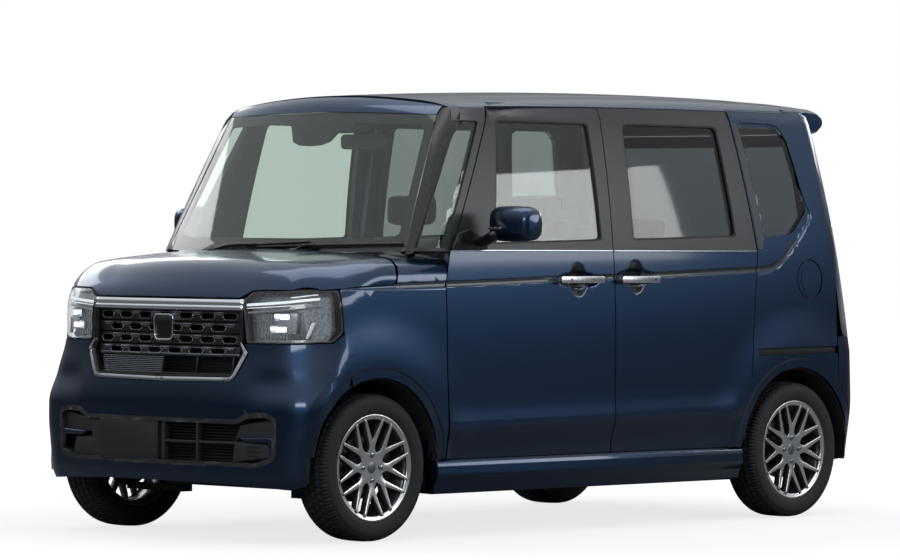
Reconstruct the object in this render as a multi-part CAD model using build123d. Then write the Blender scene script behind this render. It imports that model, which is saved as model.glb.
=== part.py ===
from build123d import *
import os
from math import cos, sin, radians

# Tall front-engined kei car. Millimetres. +X forward, +Y to the car's left,
# +Z up, origin on the ground at mid length.

# ---------------------------------------------------------------- overall
LENGTH = 3395.0
WIDTH = 1475.0
HEIGHT = 1760.0
WHEELBASE = 2520.0
FRONT_AXLE_X = 1242.5
REAR_AXLE_X = FRONT_AXLE_X - WHEELBASE
NOSE_X = LENGTH / 2
TAIL_X = -LENGTH / 2
HALF_WIDTH = WIDTH / 2

# ---------------------------------------------------------------- running gear
TYRE_WIDTH = 165.0
TYRE_RADIUS = 281.25
BEAD_RADIUS = 197.0
RIM_RADIUS = BEAD_RADIUS - 0.3
RIM_LIP = 10.0
WHEEL_Y = 647.5
WHEEL_Z = TYRE_RADIUS
HUB_RADIUS = 62.0
SPOKES = 8
SPOKE_WIDTH = 17.0
SPOKE_DEPTH = 24.0
SPOKE_FACE_Y = 716.0
FORK_RADIUS = 100.0
DISC_RADIUS = 122.0
DISC_THICKNESS = 12.0
DISC_Y = 640.0
KINGPIN_Y = 600.0
NECK_INNER_Y = 522.0
NECK_OUTER_Y = 546.0
STRUT_FOOT_Z = 588.0
STRUT_RADIUS = 42.0
RAIL_INNER_Y, RAIL_OUTER_Y = 300.0, 360.0
RAIL_Z, RAIL_TOP_Z = 246.0, 328.0
RAIL_BACK_X = 806.0
BEAM_X = 1560.0
SEAT_GAP = 0.3

# ---------------------------------------------------------------- body shell
GAP = 5.0                  # shut line round every moving panel
ARCH_RADIUS = 343.0
SILL_Z = 168.0
SILL_TOP_Z = 295.0
BELT_Z = 1110.0
ROOF_EDGE_Z = 1695.0
ROOF_CREST_X = -800.0
ROOF_SWEEP = 27000.0       # radius of the roof line in side view
ROOF_CROWN = 40.0
SKIN = 12.0                # wings and bumpers
ROOF_THICKNESS = 35.0
DOOR_THICKNESS = 85.0
FRAME_THICKNESS = 45.0
FRAME_INNER_Y = 565.0
ROOF_STEP = 245.0          # between the roof line's stations
CROWN_RISE = 2.0           # the section stands this far over the roof line, which trims it
HINGE_ROOM = 6.0
POST_THICKNESS = 40.0
SILL_THICKNESS = DOOR_THICKNESS + SEAT_GAP + POST_THICKNESS
SIDE_THICKNESS = 75.0
BONNET_THICKNESS = 25.0
GATE_THICKNESS = 60.0
GLASS_INSET = 4.0
GLASS_THICKNESS = 5.0
GLASS_CLEARANCE = 0.3
SCREEN_RAKE = 0.534        # screen moves back this much per unit of height
TAIL_RAKE = 0.18
SCREEN_FOOT_Z = 1097.0
TAIL_FOOT_Z = 690.0
DOOR_FRONT_X = 857.0
DOOR_SPLIT_X = -120.0
COWL_Z = 1090.0
FLOOR_Z = 215.0
FLOOR_THICKNESS = 30.0
LOAD_FLOOR_Z = 440.0
FAR = 900.0                # half width of a cutting tool that spans the car


def face_of(edges):
    """Face bounded by a closed run of edges."""
    return make_face(Wire(edges)).face()


def edges_of(points):
    """Edges through the points; a point marked "via" is the middle of an arc."""
    edges, start, via = [], points[0], None
    for point in points[1:] + points[:1]:
        if len(point) == 3:
            via = point[:2]
            continue
        if via is None:
            edges.append(Edge.make_line((*start, 0), (*point, 0)))
        else:
            edges.append(Edge.make_three_point_arc((*start, 0), (*via, 0), (*point, 0)))
        start, via = point, None
    return edges


def side_prism(points, low_y=-FAR, high_y=FAR):
    """Prism along Y from an outline given as (x, z)."""
    plane = Plane(origin=(0, low_y, 0), x_dir=(1, 0, 0), z_dir=(0, -1, 0))
    return Solid.extrude(plane * face_of(edges_of(points)), Vector(0, high_y - low_y, 0))


def end_prism(points, low_x, high_x):
    """Prism along X from an outline given as (y, z)."""
    plane = Plane(origin=(low_x, 0, 0), x_dir=(0, 1, 0), z_dir=(1, 0, 0))
    return Solid.extrude(plane * face_of(edges_of(points)), Vector(high_x - low_x, 0, 0))


def plan_prism(points, low_z, high_z, rake=0.0, base_z=None):
    """Prism along Z from an outline given as (x, y), leaning forward by rake."""
    base = low_z if base_z is None else base_z
    plane = Plane(origin=((low_z - base) * rake, 0, low_z))
    lean = Vector((high_z - low_z) * rake, 0, high_z - low_z)
    return Solid.extrude(plane * face_of(edges_of(points)), lean)


def box(low, high):
    """Box between two opposite corners."""
    size = [b - a for a, b in zip(low, high)]
    return Pos(*low) * Box(*size, align=(Align.MIN,) * 3)


def rod(start, end, radius):
    """Round bar between two points."""
    axis = Vector(*end) - Vector(*start)
    return Plane(origin=start, z_dir=axis) * Cylinder(radius, axis.length, align=(Align.CENTER, Align.CENTER, Align.MIN))


def both_sides(solid):
    """The left-hand solid and its mirror image."""
    return [solid, mirror(solid, about=Plane.XZ)]


def one(shape):
    """The single solid of a shape."""
    solids = shape.solids()
    assert len(solids) == 1, f"{len(solids)} solids where one was meant"
    return solids[0]


def whole(shape):
    """A symmetric solid made from the left half of a shape."""
    half = one(shape & box((-2000.0, 0.0, 0.0), (2000.0, FAR, 2000.0)))
    return one(half + mirror(half, about=Plane.XZ))


def mirrored_outline(half):
    """Closed outline from a half that runs from one end of the centre line to the other."""
    other = [(a, -b, *rest) for a, b, *rest in reversed(half)]
    return half + [point for point in other if abs(point[1]) > 0.001]


# ---------------------------------------------------------------- skins
def crown(y):
    """Height of the roof section at a place across the car."""
    return HEIGHT + CROWN_RISE - (ROOF_CROWN + CROWN_RISE) * (y / 560.0) ** 2


def flank_section(inset):
    """Cross-section of the cabin as (y, z), inset from the outer skin."""
    bottom = SILL_Z - 60.0 if inset else SILL_Z
    top = HEIGHT - ROOF_CROWN - inset
    half = [
        (0.0, bottom),
        (700.0 - inset, bottom),
        (720.0 - inset, 240.0),
        (HALF_WIDTH - inset, 620.0, "via"),
        (722.0 - inset, BELT_Z),
        (687.0 - inset, 1400.0 - inset / 2, "via"),
        (636.0 - inset, 1680.0 - inset),
        (612.0 - inset, 1708.0 - inset, "via"),
        (560.0 - inset, top),
        (420.0, crown(420.0) - inset, "via"),
        (280.0, crown(280.0) - inset),
        (140.0, crown(140.0) - inset, "via"),
        (0.0, crown(0.0) - inset),
    ]
    return [(y, z, *rest) for y, z, *rest in half] + [
        (-y, z, *rest) for y, z, *rest in reversed(half) if y > 0.001
    ]


def roof_line(inset):
    """Side view under the roof line as (x, z), the line in six flat arcs."""
    crest = HEIGHT - inset
    stations = [1200.0 - ROOF_STEP * i for i in range(13)]
    points = [(x, crest - (x - ROOF_CREST_X) ** 2 / (2 * ROOF_SWEEP)) for x in stations]
    line = [(x, z, "via") if i % 2 else (x, z) for i, (x, z) in enumerate(points)]
    return [(stations[-1], 100.0), (stations[0], 100.0)] + line


def screen_plan(inset):
    """Plan at the foot of the screen: bow, corner and side, as (x, y)."""
    half = [(1104.0 - inset, 0.0), (1084.0 - inset, 330.0, "via"), (1024.0 - inset, 632.0 - inset / 2),
            (1006.0 - inset, 672.0 - inset * 0.8, "via"), (960.0 - inset, 700.0 - inset), (760.0, 740.0 - inset)]
    return closed_plan(half, -2600.0)


def tail_plan(inset):
    """Plan at the foot of the tailgate."""
    half = [(-1690.0 + inset, 0.0), (-1688.0 + inset, 300.0, "via"), (-1682.0 + inset, 600.0 - inset / 2),
            (-1664.0 + inset, 698.0 - inset * 0.9, "via"), (-1600.0 + inset, 733.0 - inset),
            (-1400.0 + inset, 745.0 - inset)]
    return closed_plan(half, 2600.0)


def closed_plan(half, end_x):
    """Plan outline that is symmetric about the centre line and runs on to end_x."""
    last_y = half[-1][1]
    other = [(x, -y, *rest) for x, y, *rest in reversed(half) if y > 0.001]
    return half + [(end_x, last_y), (end_x, -last_y)] + other


def flank(inset):
    """Straight prism of the cabin section."""
    return end_prism(flank_section(inset), TAIL_X - 60.0, NOSE_X + 60.0)


def cabin(inset):
    """Everything inside the cabin skin."""
    screen = plan_prism(screen_plan(inset), 60.0, 1900.0, -SCREEN_RAKE, SCREEN_FOOT_Z)
    return one(flank(inset) & side_prism(roof_line(inset)) & screen & tail(inset))


def tail(inset):
    """Everything ahead of the tailgate skin: upright at the foot, raked above."""
    foot = plan_prism(tail_plan(inset), 60.0, TAIL_FOOT_Z)
    return one(foot + plan_prism(tail_plan(inset), TAIL_FOOT_Z, 1900.0, TAIL_RAKE))


def nose_plan(inset, level):
    """Plan of the nose: level 0 is the bumper, 1 is the lamps."""
    bow_x = (NOSE_X, 1672.0)[level]
    bow_via = ((1687.0, 300.0), (1664.0, 220.0))[level]
    corner = ((1652.0, 605.0), (1646.0, 420.0))[level]
    round_via = ((1618.0, 694.0), (1590.0, 655.0))[level]
    flank_x = (1520.0, 1430.0)[level]
    half = [(bow_x - inset, 0.0), (bow_via[0] - inset, bow_via[1], "via"), (corner[0] - inset, corner[1]),
            (round_via[0] - inset * 0.7, round_via[1] - inset * 0.7, "via"), (flank_x, 731.0 - inset), (1150.0, 745.0 - inset)]
    return closed_plan(half, -900.0)


NOSE_LOW_Z, NOSE_HIGH_Z = 520.0, 760.0


def nose(inset):
    """Everything inside the nose skin, below the bonnet."""
    low = plan_prism(nose_plan(inset, 0), 60.0, NOSE_LOW_Z)
    high = plan_prism(nose_plan(inset, 1), NOSE_HIGH_Z, 1300.0)
    wires = [Wire(edges_of(nose_plan(inset, level))).moved(Location((0, 0, z)))
             for level, z in ((0, NOSE_LOW_Z), (1, NOSE_HIGH_Z))]
    middle = Solid.make_loft(wires, ruled=True)
    return one((low + middle + high) & flank(inset))


def bonnet_body(inset):
    """Everything under the bonnet skin."""
    section = [(0.0, 700.0), (731.0 - inset, 700.0), (731.0 - inset, 962.0),
               (690.0 - inset * 0.7, 1048.0 - inset * 0.7, "via"), (570.0 - inset * 0.4, 1088.0 - inset),
               (285.0, 1106.0 - inset, "via"), (0.0, 1112.0 - inset)]
    section += [(-y, z, *rest) for y, z, *rest in reversed(section) if y > 0.001]
    line = [(800.0, 700.0), (1660.0 - inset, 700.0), (1660.0 - inset, 915.0),
            (1602.0 - inset * 0.7, 1024.0 - inset * 0.7, "via"), (1480.0, 1078.0 - inset),
            (1300.0, 1102.0 - inset, "via"), (800.0, 1120.0 - inset)]
    return one(end_prism(section, 700.0, 1800.0) & side_prism(line) & nose(inset))


def rear_bumper_body(inset):
    """Everything inside the rear bumper skin."""
    half = [(TAIL_X + inset, 0.0), (TAIL_X + 2.0 + inset, 300.0, "via"), (TAIL_X + 9.0 + inset, 600.0),
            (TAIL_X + 34.0 + inset, 700.0 - inset, "via"), (-1600.0, 734.0 - inset), (-1400.0, 745.0 - inset)]
    return one(plan_prism(closed_plan(half, 0.0), 60.0, 900.0) & flank(inset))


SKINS = {}


def cabin_shell(outer, inner):
    """Cabin wall between two insets."""
    for inset in (outer, inner):
        if inset not in SKINS:
            SKINS[inset] = cabin(inset)
    return SKINS[outer] - SKINS[inner]


def arch(axle_x, radius=ARCH_RADIUS):
    """Wheel opening cut right across the car."""
    return Pos(axle_x, 0, WHEEL_Z) * Rot(90, 0, 0) * Cylinder(radius, 2 * FAR)


ARCHES = arch(FRONT_AXLE_X) + arch(REAR_AXLE_X)

# ---------------------------------------------------------------- outlines, (x, z)
DOOR_LOW = [(DOOR_FRONT_X - 14.0, SILL_TOP_Z + GAP), (DOOR_FRONT_X, 990.0), (DOOR_FRONT_X - 37.0, BELT_Z),
            (DOOR_SPLIT_X, BELT_Z), (DOOR_SPLIT_X, SILL_TOP_Z + GAP)]
FRAME_REAR_X = DOOR_SPLIT_X + 5.0      # the leaning frame swings back a little as the door opens
DOOR_HIGH = [(DOOR_FRONT_X - 37.0, BELT_Z - 8.0), (530.0, 1660.0), (500.0, ROOF_EDGE_Z - GAP),
             (FRAME_REAR_X, ROOF_EDGE_Z - GAP), (FRAME_REAR_X, BELT_Z - 8.0)]
DOOR_WINDOW = [(577.0, 1132.0), (500.0, 1618.0), (-45.0, 1618.0), (-62.0, 1148.0)]
SLIDE_FRONT_X = DOOR_SPLIT_X - GAP
SLIDE_LOW = [(SLIDE_FRONT_X, SILL_TOP_Z + GAP), (SLIDE_FRONT_X, BELT_Z), (-1032.0, BELT_Z), (-1010.0, 970.0),
             (-930.0, SILL_TOP_Z + GAP)]
SLIDE_HIGH = [(SLIDE_FRONT_X, BELT_Z - 8.0), (SLIDE_FRONT_X, ROOF_EDGE_Z - GAP), (-925.0, ROOF_EDGE_Z - GAP),
              (-1032.0, BELT_Z - 8.0)]
SLIDE_WINDOW = [(-250.0, 1150.0), (-250.0, 1620.0), (-842.0, 1620.0), (-900.0, 1165.0)]
QUARTER_LIGHT = [(1002.0, 1116.0), (856.0, 1116.0), (596.0, 1618.0), (700.0, 1618.0)]
QUARTER_WINDOW = [(-1080.0, 1165.0), (-985.0, 1622.0), (-1215.0, 1622.0), (-1285.0, 1580.0), (-1372.0, 1280.0),
                  (-1262.0, 1180.0)]
SPOILER = [(-1304.0 - GAP / 2, 1800.0), (-1304.0 - GAP / 2, 1668.0), (-1385.0, 1606.0), (-1565.0, 1600.0),
           (-1620.0, 1630.0), (-1621.0, 1705.0), (-1600.0, 1725.0), (-1540.0, 1800.0)]
SCREEN = [(628.0, 1104.0), (560.0, 1636.0), (-560.0, 1636.0), (-628.0, 1104.0)]
GATE_HALF_WIDTH = 596.0
GATE_FOOT_Z = 525.0
GATE_WINDOW = [(530.0, 1130.0), (505.0, 1580.0), (-505.0, 1580.0), (-530.0, 1130.0)]
GRILLE = [(400.0, 604.0), (440.0, 715.0), (412.0, 872.0), (-412.0, 872.0), (-440.0, 715.0), (-400.0, 604.0)]
BROW = [(412.0, 871.0), (404.0, 918.0), (-404.0, 918.0), (-412.0, 871.0)]
INTAKE = [(596.0, 322.0), (598.0, 474.0), (-598.0, 474.0), (-596.0, 322.0), (-520.0, 286.0), (520.0, 286.0)]
FLAP_X, FLAP_Z, FLAP_RADIUS = -1365.0, 992.0, 80.0
FLAP_THICKNESS = 8.0
PLATE_HOLE_PITCH, PLATE_HOLE_RADIUS = 210.0, 3.5
PLATE_X, PLATE_Y, PLATE_HOLE_Z = 1688.0, -165.0, 436.0
GATE_PLATE_X, GATE_PLATE_HOLE_Z = -1650.0, 855.0


def offset_corners(points, by):
    """Corners of a polygon moved so that each side goes out by the same amount."""
    count = len(points)
    area = sum(points[i][0] * points[(i + 1) % count][1] - points[(i + 1) % count][0] * points[i][1] for i in range(count))
    sign = 1.0 if area > 0 else -1.0
    result = []
    for i in range(count):
        before, here, after = Vector(*points[i - 1]), Vector(*points[i]), Vector(*points[(i + 1) % count])
        first, second = (here - before).normalized(), (after - here).normalized()
        normal_a = Vector(first.Y, -first.X) * sign
        normal_b = Vector(second.Y, -second.X) * sign
        middle = (normal_a + normal_b)
        moved = here + middle * (by / (1.0 + normal_a.dot(normal_b)))
        result.append((moved.X, moved.Y))
    return result


# ---------------------------------------------------------------- closures
def front_door():
    """Left front door: thick below the belt, a frame round the glass above it."""
    low = cabin_shell(0.0, DOOR_THICKNESS) & side_prism(DOOR_LOW, 300.0)
    high = cabin_shell(0.0, FRAME_THICKNESS) & side_prism(DOOR_HIGH, FRAME_INNER_Y)
    return one(low + high - side_prism(DOOR_WINDOW, 300.0))


def sliding_door():
    """Left sliding door, cut back round the rear wheel arch."""
    low = cabin_shell(0.0, DOOR_THICKNESS) & side_prism(SLIDE_LOW, 300.0)
    high = cabin_shell(0.0, FRAME_THICKNESS) & side_prism(SLIDE_HIGH, FRAME_INNER_Y)
    return one(low + high - side_prism(SLIDE_WINDOW, 300.0) - arch(REAR_AXLE_X, ARCH_RADIUS + 2 * GAP))


def pane(outline):
    """Side glass that sits in the opening with the given outline."""
    block = side_prism(offset_corners(outline, -GLASS_CLEARANCE), 500.0)
    outer, inner = [one(cabin(inset) & block) for inset in (GLASS_INSET, GLASS_INSET + GLASS_THICKNESS)]
    return one(outer - inner)


def screen_pane():
    """Bowed windscreen between two copies of the raked screen plan."""
    outer, inner = [plan_prism(screen_plan(inset), 1000.0, 1700.0, -SCREEN_RAKE, SCREEN_FOOT_Z)
                    for inset in (GLASS_INSET, GLASS_INSET + GLASS_THICKNESS)]
    return (outer - inner) & end_prism(offset_corners(SCREEN, -GLASS_CLEARANCE), 400.0, 1300.0)


def tailgate():
    """Rear gate with its window and the roof spoiler that it carries."""
    half = GATE_HALF_WIDTH
    outline = [(half, GATE_FOOT_Z), (half, 1640.0), (-half, 1640.0), (-half, GATE_FOOT_Z)]
    solid = one(tail(0.0) & end_prism(outline, TAIL_X - 20.0, -1380.0)) + side_prism(SPOILER)
    solid = one(solid & flank(0.0) & side_prism(roof_line(0.0)))
    window = end_prism(GATE_WINDOW, TAIL_X - 20.0, -1380.0)
    pocket = box((TAIL_X - 60.0, -185.0, 705.0), (GATE_PLATE_X, 185.0, 885.0))
    inside = tail(GATE_THICKNESS) & box((TAIL_X, -FAR, 100.0), (-1200.0, FAR, 1650.0))
    gate = one(solid - inside) - window - pocket
    return one(plate_holes(gate, GATE_PLATE_X, 0.0, GATE_PLATE_HOLE_Z))


def bonnet():
    """Clamshell bonnet, down to the groove along the wings."""
    shell = bonnet_body(0.0) - bonnet_body(BONNET_THICKNESS)
    outline = [(1138.0, 972.0), (1420.0, 967.0), (1480.0, 962.0), (1600.0, 950.0), (1700.0, 926.0), (1700.0, 1200.0),
               (1128.0, 1200.0), (1128.0, 1085.0)]
    return one(shell & side_prism(outline))


def flap_disc(radius):
    """Round tool through the left rear quarter at the filler."""
    return Pos(FLAP_X, 700.0, FLAP_Z) * Rot(90, 0, 0) * Cylinder(radius, 200.0)


def fuel_flap():
    """Round filler flap in the left rear quarter."""
    return one(cabin_shell(0.0, FLAP_THICKNESS) & flap_disc(FLAP_RADIUS))


# ---------------------------------------------------------------- fixed body
def body_side():
    """Left sill, posts, cant rail and rear quarter as one pressing."""
    inner_post = DOOR_THICKNESS + SEAT_GAP
    upper_post = FRAME_THICKNESS + SEAT_GAP
    quarter_outline = [(-935.0, SILL_Z - 5.0), (-935.0, SILL_TOP_Z), (-1015.0, 969.0), (-1037.5, BELT_Z),
                       (-930.0, ROOF_EDGE_Z - GAP), (-930.0, ROOF_EDGE_Z), (-1720.0, ROOF_EDGE_Z), (-1720.0, SILL_Z - 5.0)]
    quarter = cabin_shell(0.0, SIDE_THICKNESS) & side_prism(quarter_outline, 300.0)
    gate_hole = box((TAIL_X - 60.0, -FAR, 60.0), (-1380.0 + GAP, GATE_HALF_WIDTH + GAP, 1900.0))
    bumper_hole = box((TAIL_X - 60.0, 0.0, 60.0), (-1500.0, FAR, 700.0))
    quarter = quarter - gate_hole - bumper_hole - side_prism(QUARTER_WINDOW, 300.0)
    quarter -= side_prism(offset_corners(SPOILER, GAP), 300.0) + side_prism(TAIL_LAMP, 300.0)
    quarter -= cabin_shell(0.0, FLAP_THICKNESS + SEAT_GAP) & flap_disc(FLAP_RADIUS + GAP)
    sill = cabin_shell(0.0, SILL_THICKNESS) & box((-1000.0, 300.0, SILL_Z), (DOOR_FRONT_X - 14.0 + GAP, FAR, SILL_TOP_Z))
    flange = box((TAIL_X - 60.0, GATE_HALF_WIDTH - 24.0, 560.0), (-1380.0, GATE_HALF_WIDTH + GAP + 4.0, 1560.0))
    parts = [quarter, sill, cabin_shell(GATE_THICKNESS + SEAT_GAP, SIDE_THICKNESS) & flange]
    for low_x, high_x in ((DOOR_SPLIT_X - 55.0, DOOR_SPLIT_X + 50.0), (DOOR_FRONT_X - 70.0, DOOR_FRONT_X + 40.0)):
        reach = box((low_x, 300.0, SILL_Z), (high_x, FAR, POST_TOPS[low_x > 0.0]))
        outer = inner_post + HINGE_ROOM * (low_x > 0.0)
        parts.append(cabin_shell(outer, inner_post + POST_THICKNESS) & reach)
    upper = box((DOOR_SPLIT_X - 55.0, 300.0, BELT_Z + SEAT_GAP), (DOOR_SPLIT_X + 50.0, FAR, ROOF_EDGE_Z))
    parts.append(cabin_shell(upper_post, inner_post + POST_THICKNESS) & upper)
    rail = box((-1000.0, 500.0, 1635.0), (480.0, FAR, ROOF_EDGE_Z))
    parts.append(cabin_shell(upper_post, SIDE_THICKNESS) & rail)
    solid = parts[0]
    for part in parts[1:]:
        solid = solid + part
    return one(solid - ARCHES)


LAMP_LOW_Z = 752.0
POST_TOPS = (BELT_Z + 40.0, BELT_Z - 20.0)     # door post, hinge post
TAIL_LAMP = [(-1535.0, 1215.0), (-1592.0, 800.0), (-1612.0, 750.0), (-1760.0, 750.0), (-1760.0, 1215.0)]


def tail_lamp():
    """Left tail lamp, wrapped round the rear corner."""
    shell = cabin_shell(0.0, GATE_THICKNESS) & side_prism(offset_corners(TAIL_LAMP, -GLASS_CLEARANCE), 300.0)
    return one(shell & box((TAIL_X - 50.0, GATE_HALF_WIDTH + GAP, 700.0), (-1500.0, FAR, 1300.0)))


def roof():
    """Roof panel with the header over the screen."""
    outline = [(-1304.0 + GAP / 2, ROOF_EDGE_Z), (512.0, ROOF_EDGE_Z), (555.0, 1637.0), (1000.0, 1637.0), (1000.0, 1850.0),
               (-1304.0 + GAP / 2, 1850.0)]
    return whole(cabin_shell(0.0, ROOF_THICKNESS) & side_prism(outline))


def scuttle():
    """Screen pillars, cowl and bulkhead."""
    outline = [(DOOR_FRONT_X - 25.0, 1092.0), (1128.0, 1092.0), (1128.0, 1110.0), (860.0, 1637.0), (550.0, 1637.0),
               (DOOR_FRONT_X - 31.0, BELT_Z)]
    pillars = cabin_shell(0.0, GATE_THICKNESS) & side_prism(outline)
    pillars = pillars - side_prism(QUARTER_LIGHT) - end_prism(SCREEN, 400.0, 1300.0)
    cowl = side_prism([(930.0, 1040.0), (1120.0, 1040.0), (1120.0, COWL_Z), (930.0, COWL_Z)], -610.0, 610.0)
    floor_top = FLOOR_Z + FLOOR_THICKNESS
    wall = side_prism([(930.0, 1060.0), (950.0, 1060.0), (975.0, 600.0), (800.0, floor_top), (775.0, floor_top),
                       (952.0, 606.0)], -580.0, 580.0)
    cowl_sides = [box((905.0, low, 1040.0), (1106.0, high, 1093.0)) for low, high in ((560.0, 660.0), (-660.0, -560.0))]
    ledge = box((1100.0, -560.0, 1040.0), (1150.0, 560.0, 1130.0)) & bonnet_body(BONNET_THICKNESS + SEAT_GAP)
    solid = pillars + cowl + wall + ledge
    for side in (-1.0, 1.0):
        low_y, high_y = sorted((side * RAIL_INNER_Y, side * RAIL_OUTER_Y))
        solid = solid + box((RAIL_BACK_X, low_y, RAIL_Z), (BEAM_X, high_y, RAIL_TOP_Z))
    solid = solid + box((BEAM_X, -480.0, RAIL_Z + 10.0), (BEAM_X + 40.0, 480.0, RAIL_TOP_Z))
    for side in cowl_sides:
        solid = solid + (side & cabin(20.0))
    return one(solid)


def wing():
    """Left front wing round the wheel arch, up to the bonnet groove."""
    shell = nose(0.0) - nose(SKIN)
    outline = [(DOOR_FRONT_X + GAP - 14.0, 200.0), (DOOR_FRONT_X + GAP, 990.0), (DOOR_FRONT_X + GAP - 31.0, 1092.0),
               (1120.0, 1092.0), (1122.0, 1083.0), (1132.0, 966.0), (1418.0, 962.0), (1434.0, 955.0), (1424.0, 780.0),
               (1398.0, 640.0), (1398.0, 400.0), (1100.0, 200.0)]
    return one((shell & side_prism(outline, 300.0)) - ARCHES)


def front_bumper():
    """Front bumper skin with its grille and intake openings."""
    shell = nose(0.0) - nose(SKIN)
    outline = [(1398.3, 400.0), (1398.3, 639.0), (1424.3, 779.0), (1500.0, LAMP_LOW_Z), (1760.0, LAMP_LOW_Z), (1760.0, 190.0),
               (1398.3, 190.0)]
    brow = [(440.0, 740.0), (440.0, 760.0), (-440.0, 760.0), (-440.0, 740.0)]
    skin = shell & side_prism(outline)
    skin = skin - end_prism(GRILLE, 1500.0, 1800.0) - end_prism(INTAKE, 1500.0, 1800.0) - end_prism(brow, 1500.0, 1800.0)
    return one(skin - ARCHES)


def rear_bumper():
    """Rear bumper skin, taller at the corners under the lamps."""
    shell = rear_bumper_body(0.0) - rear_bumper_body(SKIN)
    skin = shell & box((TAIL_X - 20.0, -FAR, 250.0), (-1500.0 - SEAT_GAP, FAR, 700.0 - SEAT_GAP))
    mouth = box((TAIL_X - 20.0, -GATE_HALF_WIDTH - GAP, GATE_FOOT_Z - GAP), (-1500.0, GATE_HALF_WIDTH + GAP, 800.0))
    shelf = rear_bumper_body(SKIN) & box((TAIL_X, -GATE_HALF_WIDTH, GATE_FOOT_Z - GAP - SKIN), (-1600.0, GATE_HALF_WIDTH, GATE_FOOT_Z - GAP))
    return one(skin - mouth - ARCHES + shelf)


def ring(outline, width):
    """Outline frame of the given width, as a prism tool along X."""
    return end_prism(outline, 1500.0, 1760.0) - end_prism(offset_corners(outline, -width), 1490.0, 1770.0)


def plate_holes(solid, face_x, centre_y, hole_z):
    """Solid drilled for the two screws of a number plate."""
    for side in (-0.5, 0.5):
        y = centre_y + side * PLATE_HOLE_PITCH
        solid = solid - rod((face_x - 40.0, y, hole_z), (face_x + 40.0, y, hole_z), PLATE_HOLE_RADIUS)
    return solid


def grille():
    """Upper grille with its bright surround and bar, and the lower intake frame."""
    body = nose(2.0) - nose(60.0)
    inner = offset_corners(GRILLE, -GLASS_CLEARANCE)
    bars = []
    for row in range(5):
        z = 640.0 + row * 52.0
        bars.append(box((1500.0, -FAR, z), (1760.0, FAR, z + 12.0)))
    for column in range(-4, 5):
        bars.append(box((1500.0, column * 92.0 - 6.0, 500.0), (1760.0, column * 92.0 + 6.0, 1000.0)))
    mesh = bars[0]
    for bar in bars[1:]:
        mesh = mesh + bar
    upper = (ring(inner, 22.0) + (mesh & end_prism(inner, 1500.0, 1760.0))) & (nose(8.0) - nose(50.0))
    brow = end_prism(BROW, 1500.0, 1760.0) & body
    low_inner = offset_corners(INTAKE, -GLASS_CLEARANCE)
    cross = box((1500.0, -FAR, 372.0), (1760.0, FAR, 388.0)) + box((1500.0, -8.0, 280.0), (1760.0, 8.0, 480.0))
    lower = (ring(low_inner, 18.0) + (cross & end_prism(low_inner, 1500.0, 1760.0))) & (nose(8.0) - nose(50.0))
    pad = box((PLATE_X - 12.0, PLATE_Y - 160.0, PLATE_HOLE_Z - 130.0), (PLATE_X, PLATE_Y + 160.0, PLATE_HOLE_Z + 20.0))
    return [one(upper + brow), one(lower + plate_holes(pad, PLATE_X, PLATE_Y, PLATE_HOLE_Z))]


def headlamp():
    """Left headlamp, from the grille round to the wing."""
    outline = [(1435.0, 953.0), (1424.9, 779.2), (1500.1, LAMP_LOW_Z + SEAT_GAP), (1760.0, LAMP_LOW_Z + SEAT_GAP), (1760.0, 917.0), (1600.0, 944.0),
               (1480.0, 956.0)]
    body = (nose(1.0) - nose(90.0)) & side_prism(outline, 300.0)
    for hole in (GRILLE, BROW):
        body = body - end_prism(offset_corners(hole, GLASS_CLEARANCE), 1400.0, 1800.0)
    return one(body & box((1300.0, 400.0, 700.0), (1800.0, FAR, 1000.0)))


# ---------------------------------------------------------------- under the skin
def floor_pan():
    """Cabin floor, the step up under the rear seat and the load floor."""
    step = LOAD_FLOOR_Z - FLOOR_Z
    outline = [(800.0, FLOOR_Z + 8.0), (800.0, FLOOR_Z + FLOOR_THICKNESS), (-690.0, FLOOR_Z + FLOOR_THICKNESS),
               (-720.0, FLOOR_Z + FLOOR_THICKNESS + step), (-1660.0 + 60.0, LOAD_FLOOR_Z + FLOOR_THICKNESS),
               (-1660.0 + 60.0, LOAD_FLOOR_Z), (-750.0, LOAD_FLOOR_Z), (-720.0, FLOOR_Z), (780.0, FLOOR_Z)]
    sheet = side_prism(outline) & cabin(SILL_THICKNESS)
    return one(sheet - box((-1700.0, 540.0, 200.0), (-900.0, 800.0, 700.0)) - box((-1700.0, -800.0, 200.0), (-900.0, -540.0, 700.0)))


def wheelhouse(axle_x, inner_y):
    """Arch liner over the left wheel."""
    outer = Pos(axle_x, 0, WHEEL_Z) * Rot(90, 0, 0) * Cylinder(ARCH_RADIUS - 0.5, 2 * FAR)
    inner = Pos(axle_x, 0, WHEEL_Z) * Rot(90, 0, 0) * Cylinder(ARCH_RADIUS - 6.0, 2 * FAR)
    foot = WHEEL_Z + 50.0
    band = box((axle_x - 500.0, inner_y, foot), (axle_x + 500.0, 728.0, 900.0))
    wall = outer & box((axle_x - 500.0, inner_y - 5.0, foot), (axle_x + 500.0, inner_y, 900.0))
    strut_hole = rod((FRONT_AXLE_X, KINGPIN_Y, 500.0), (FRONT_AXLE_X, KINGPIN_Y, 800.0), STRUT_RADIUS + 6.0)
    return one(((outer - inner) & band) + wall - strut_hole)


def dashboard():
    """Dashboard with the steering column shroud."""
    outline = [(930.0 - SEAT_GAP, 760.0), (930.0 - SEAT_GAP, 1036.0), (800.0, 1030.0), (680.0, 970.0), (645.0, 900.0), (660.0, 780.0), (760.0, 720.0)]
    panel = side_prism(outline, -560.0, 560.0)
    return one(panel + rod(on_column(30.0), on_column(190.0), 36.0))


STEER_CENTRE = (560.0, -340.0, 960.0)
STEER_RAKE = 28.0
STEER_RADIUS = 180.0


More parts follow.
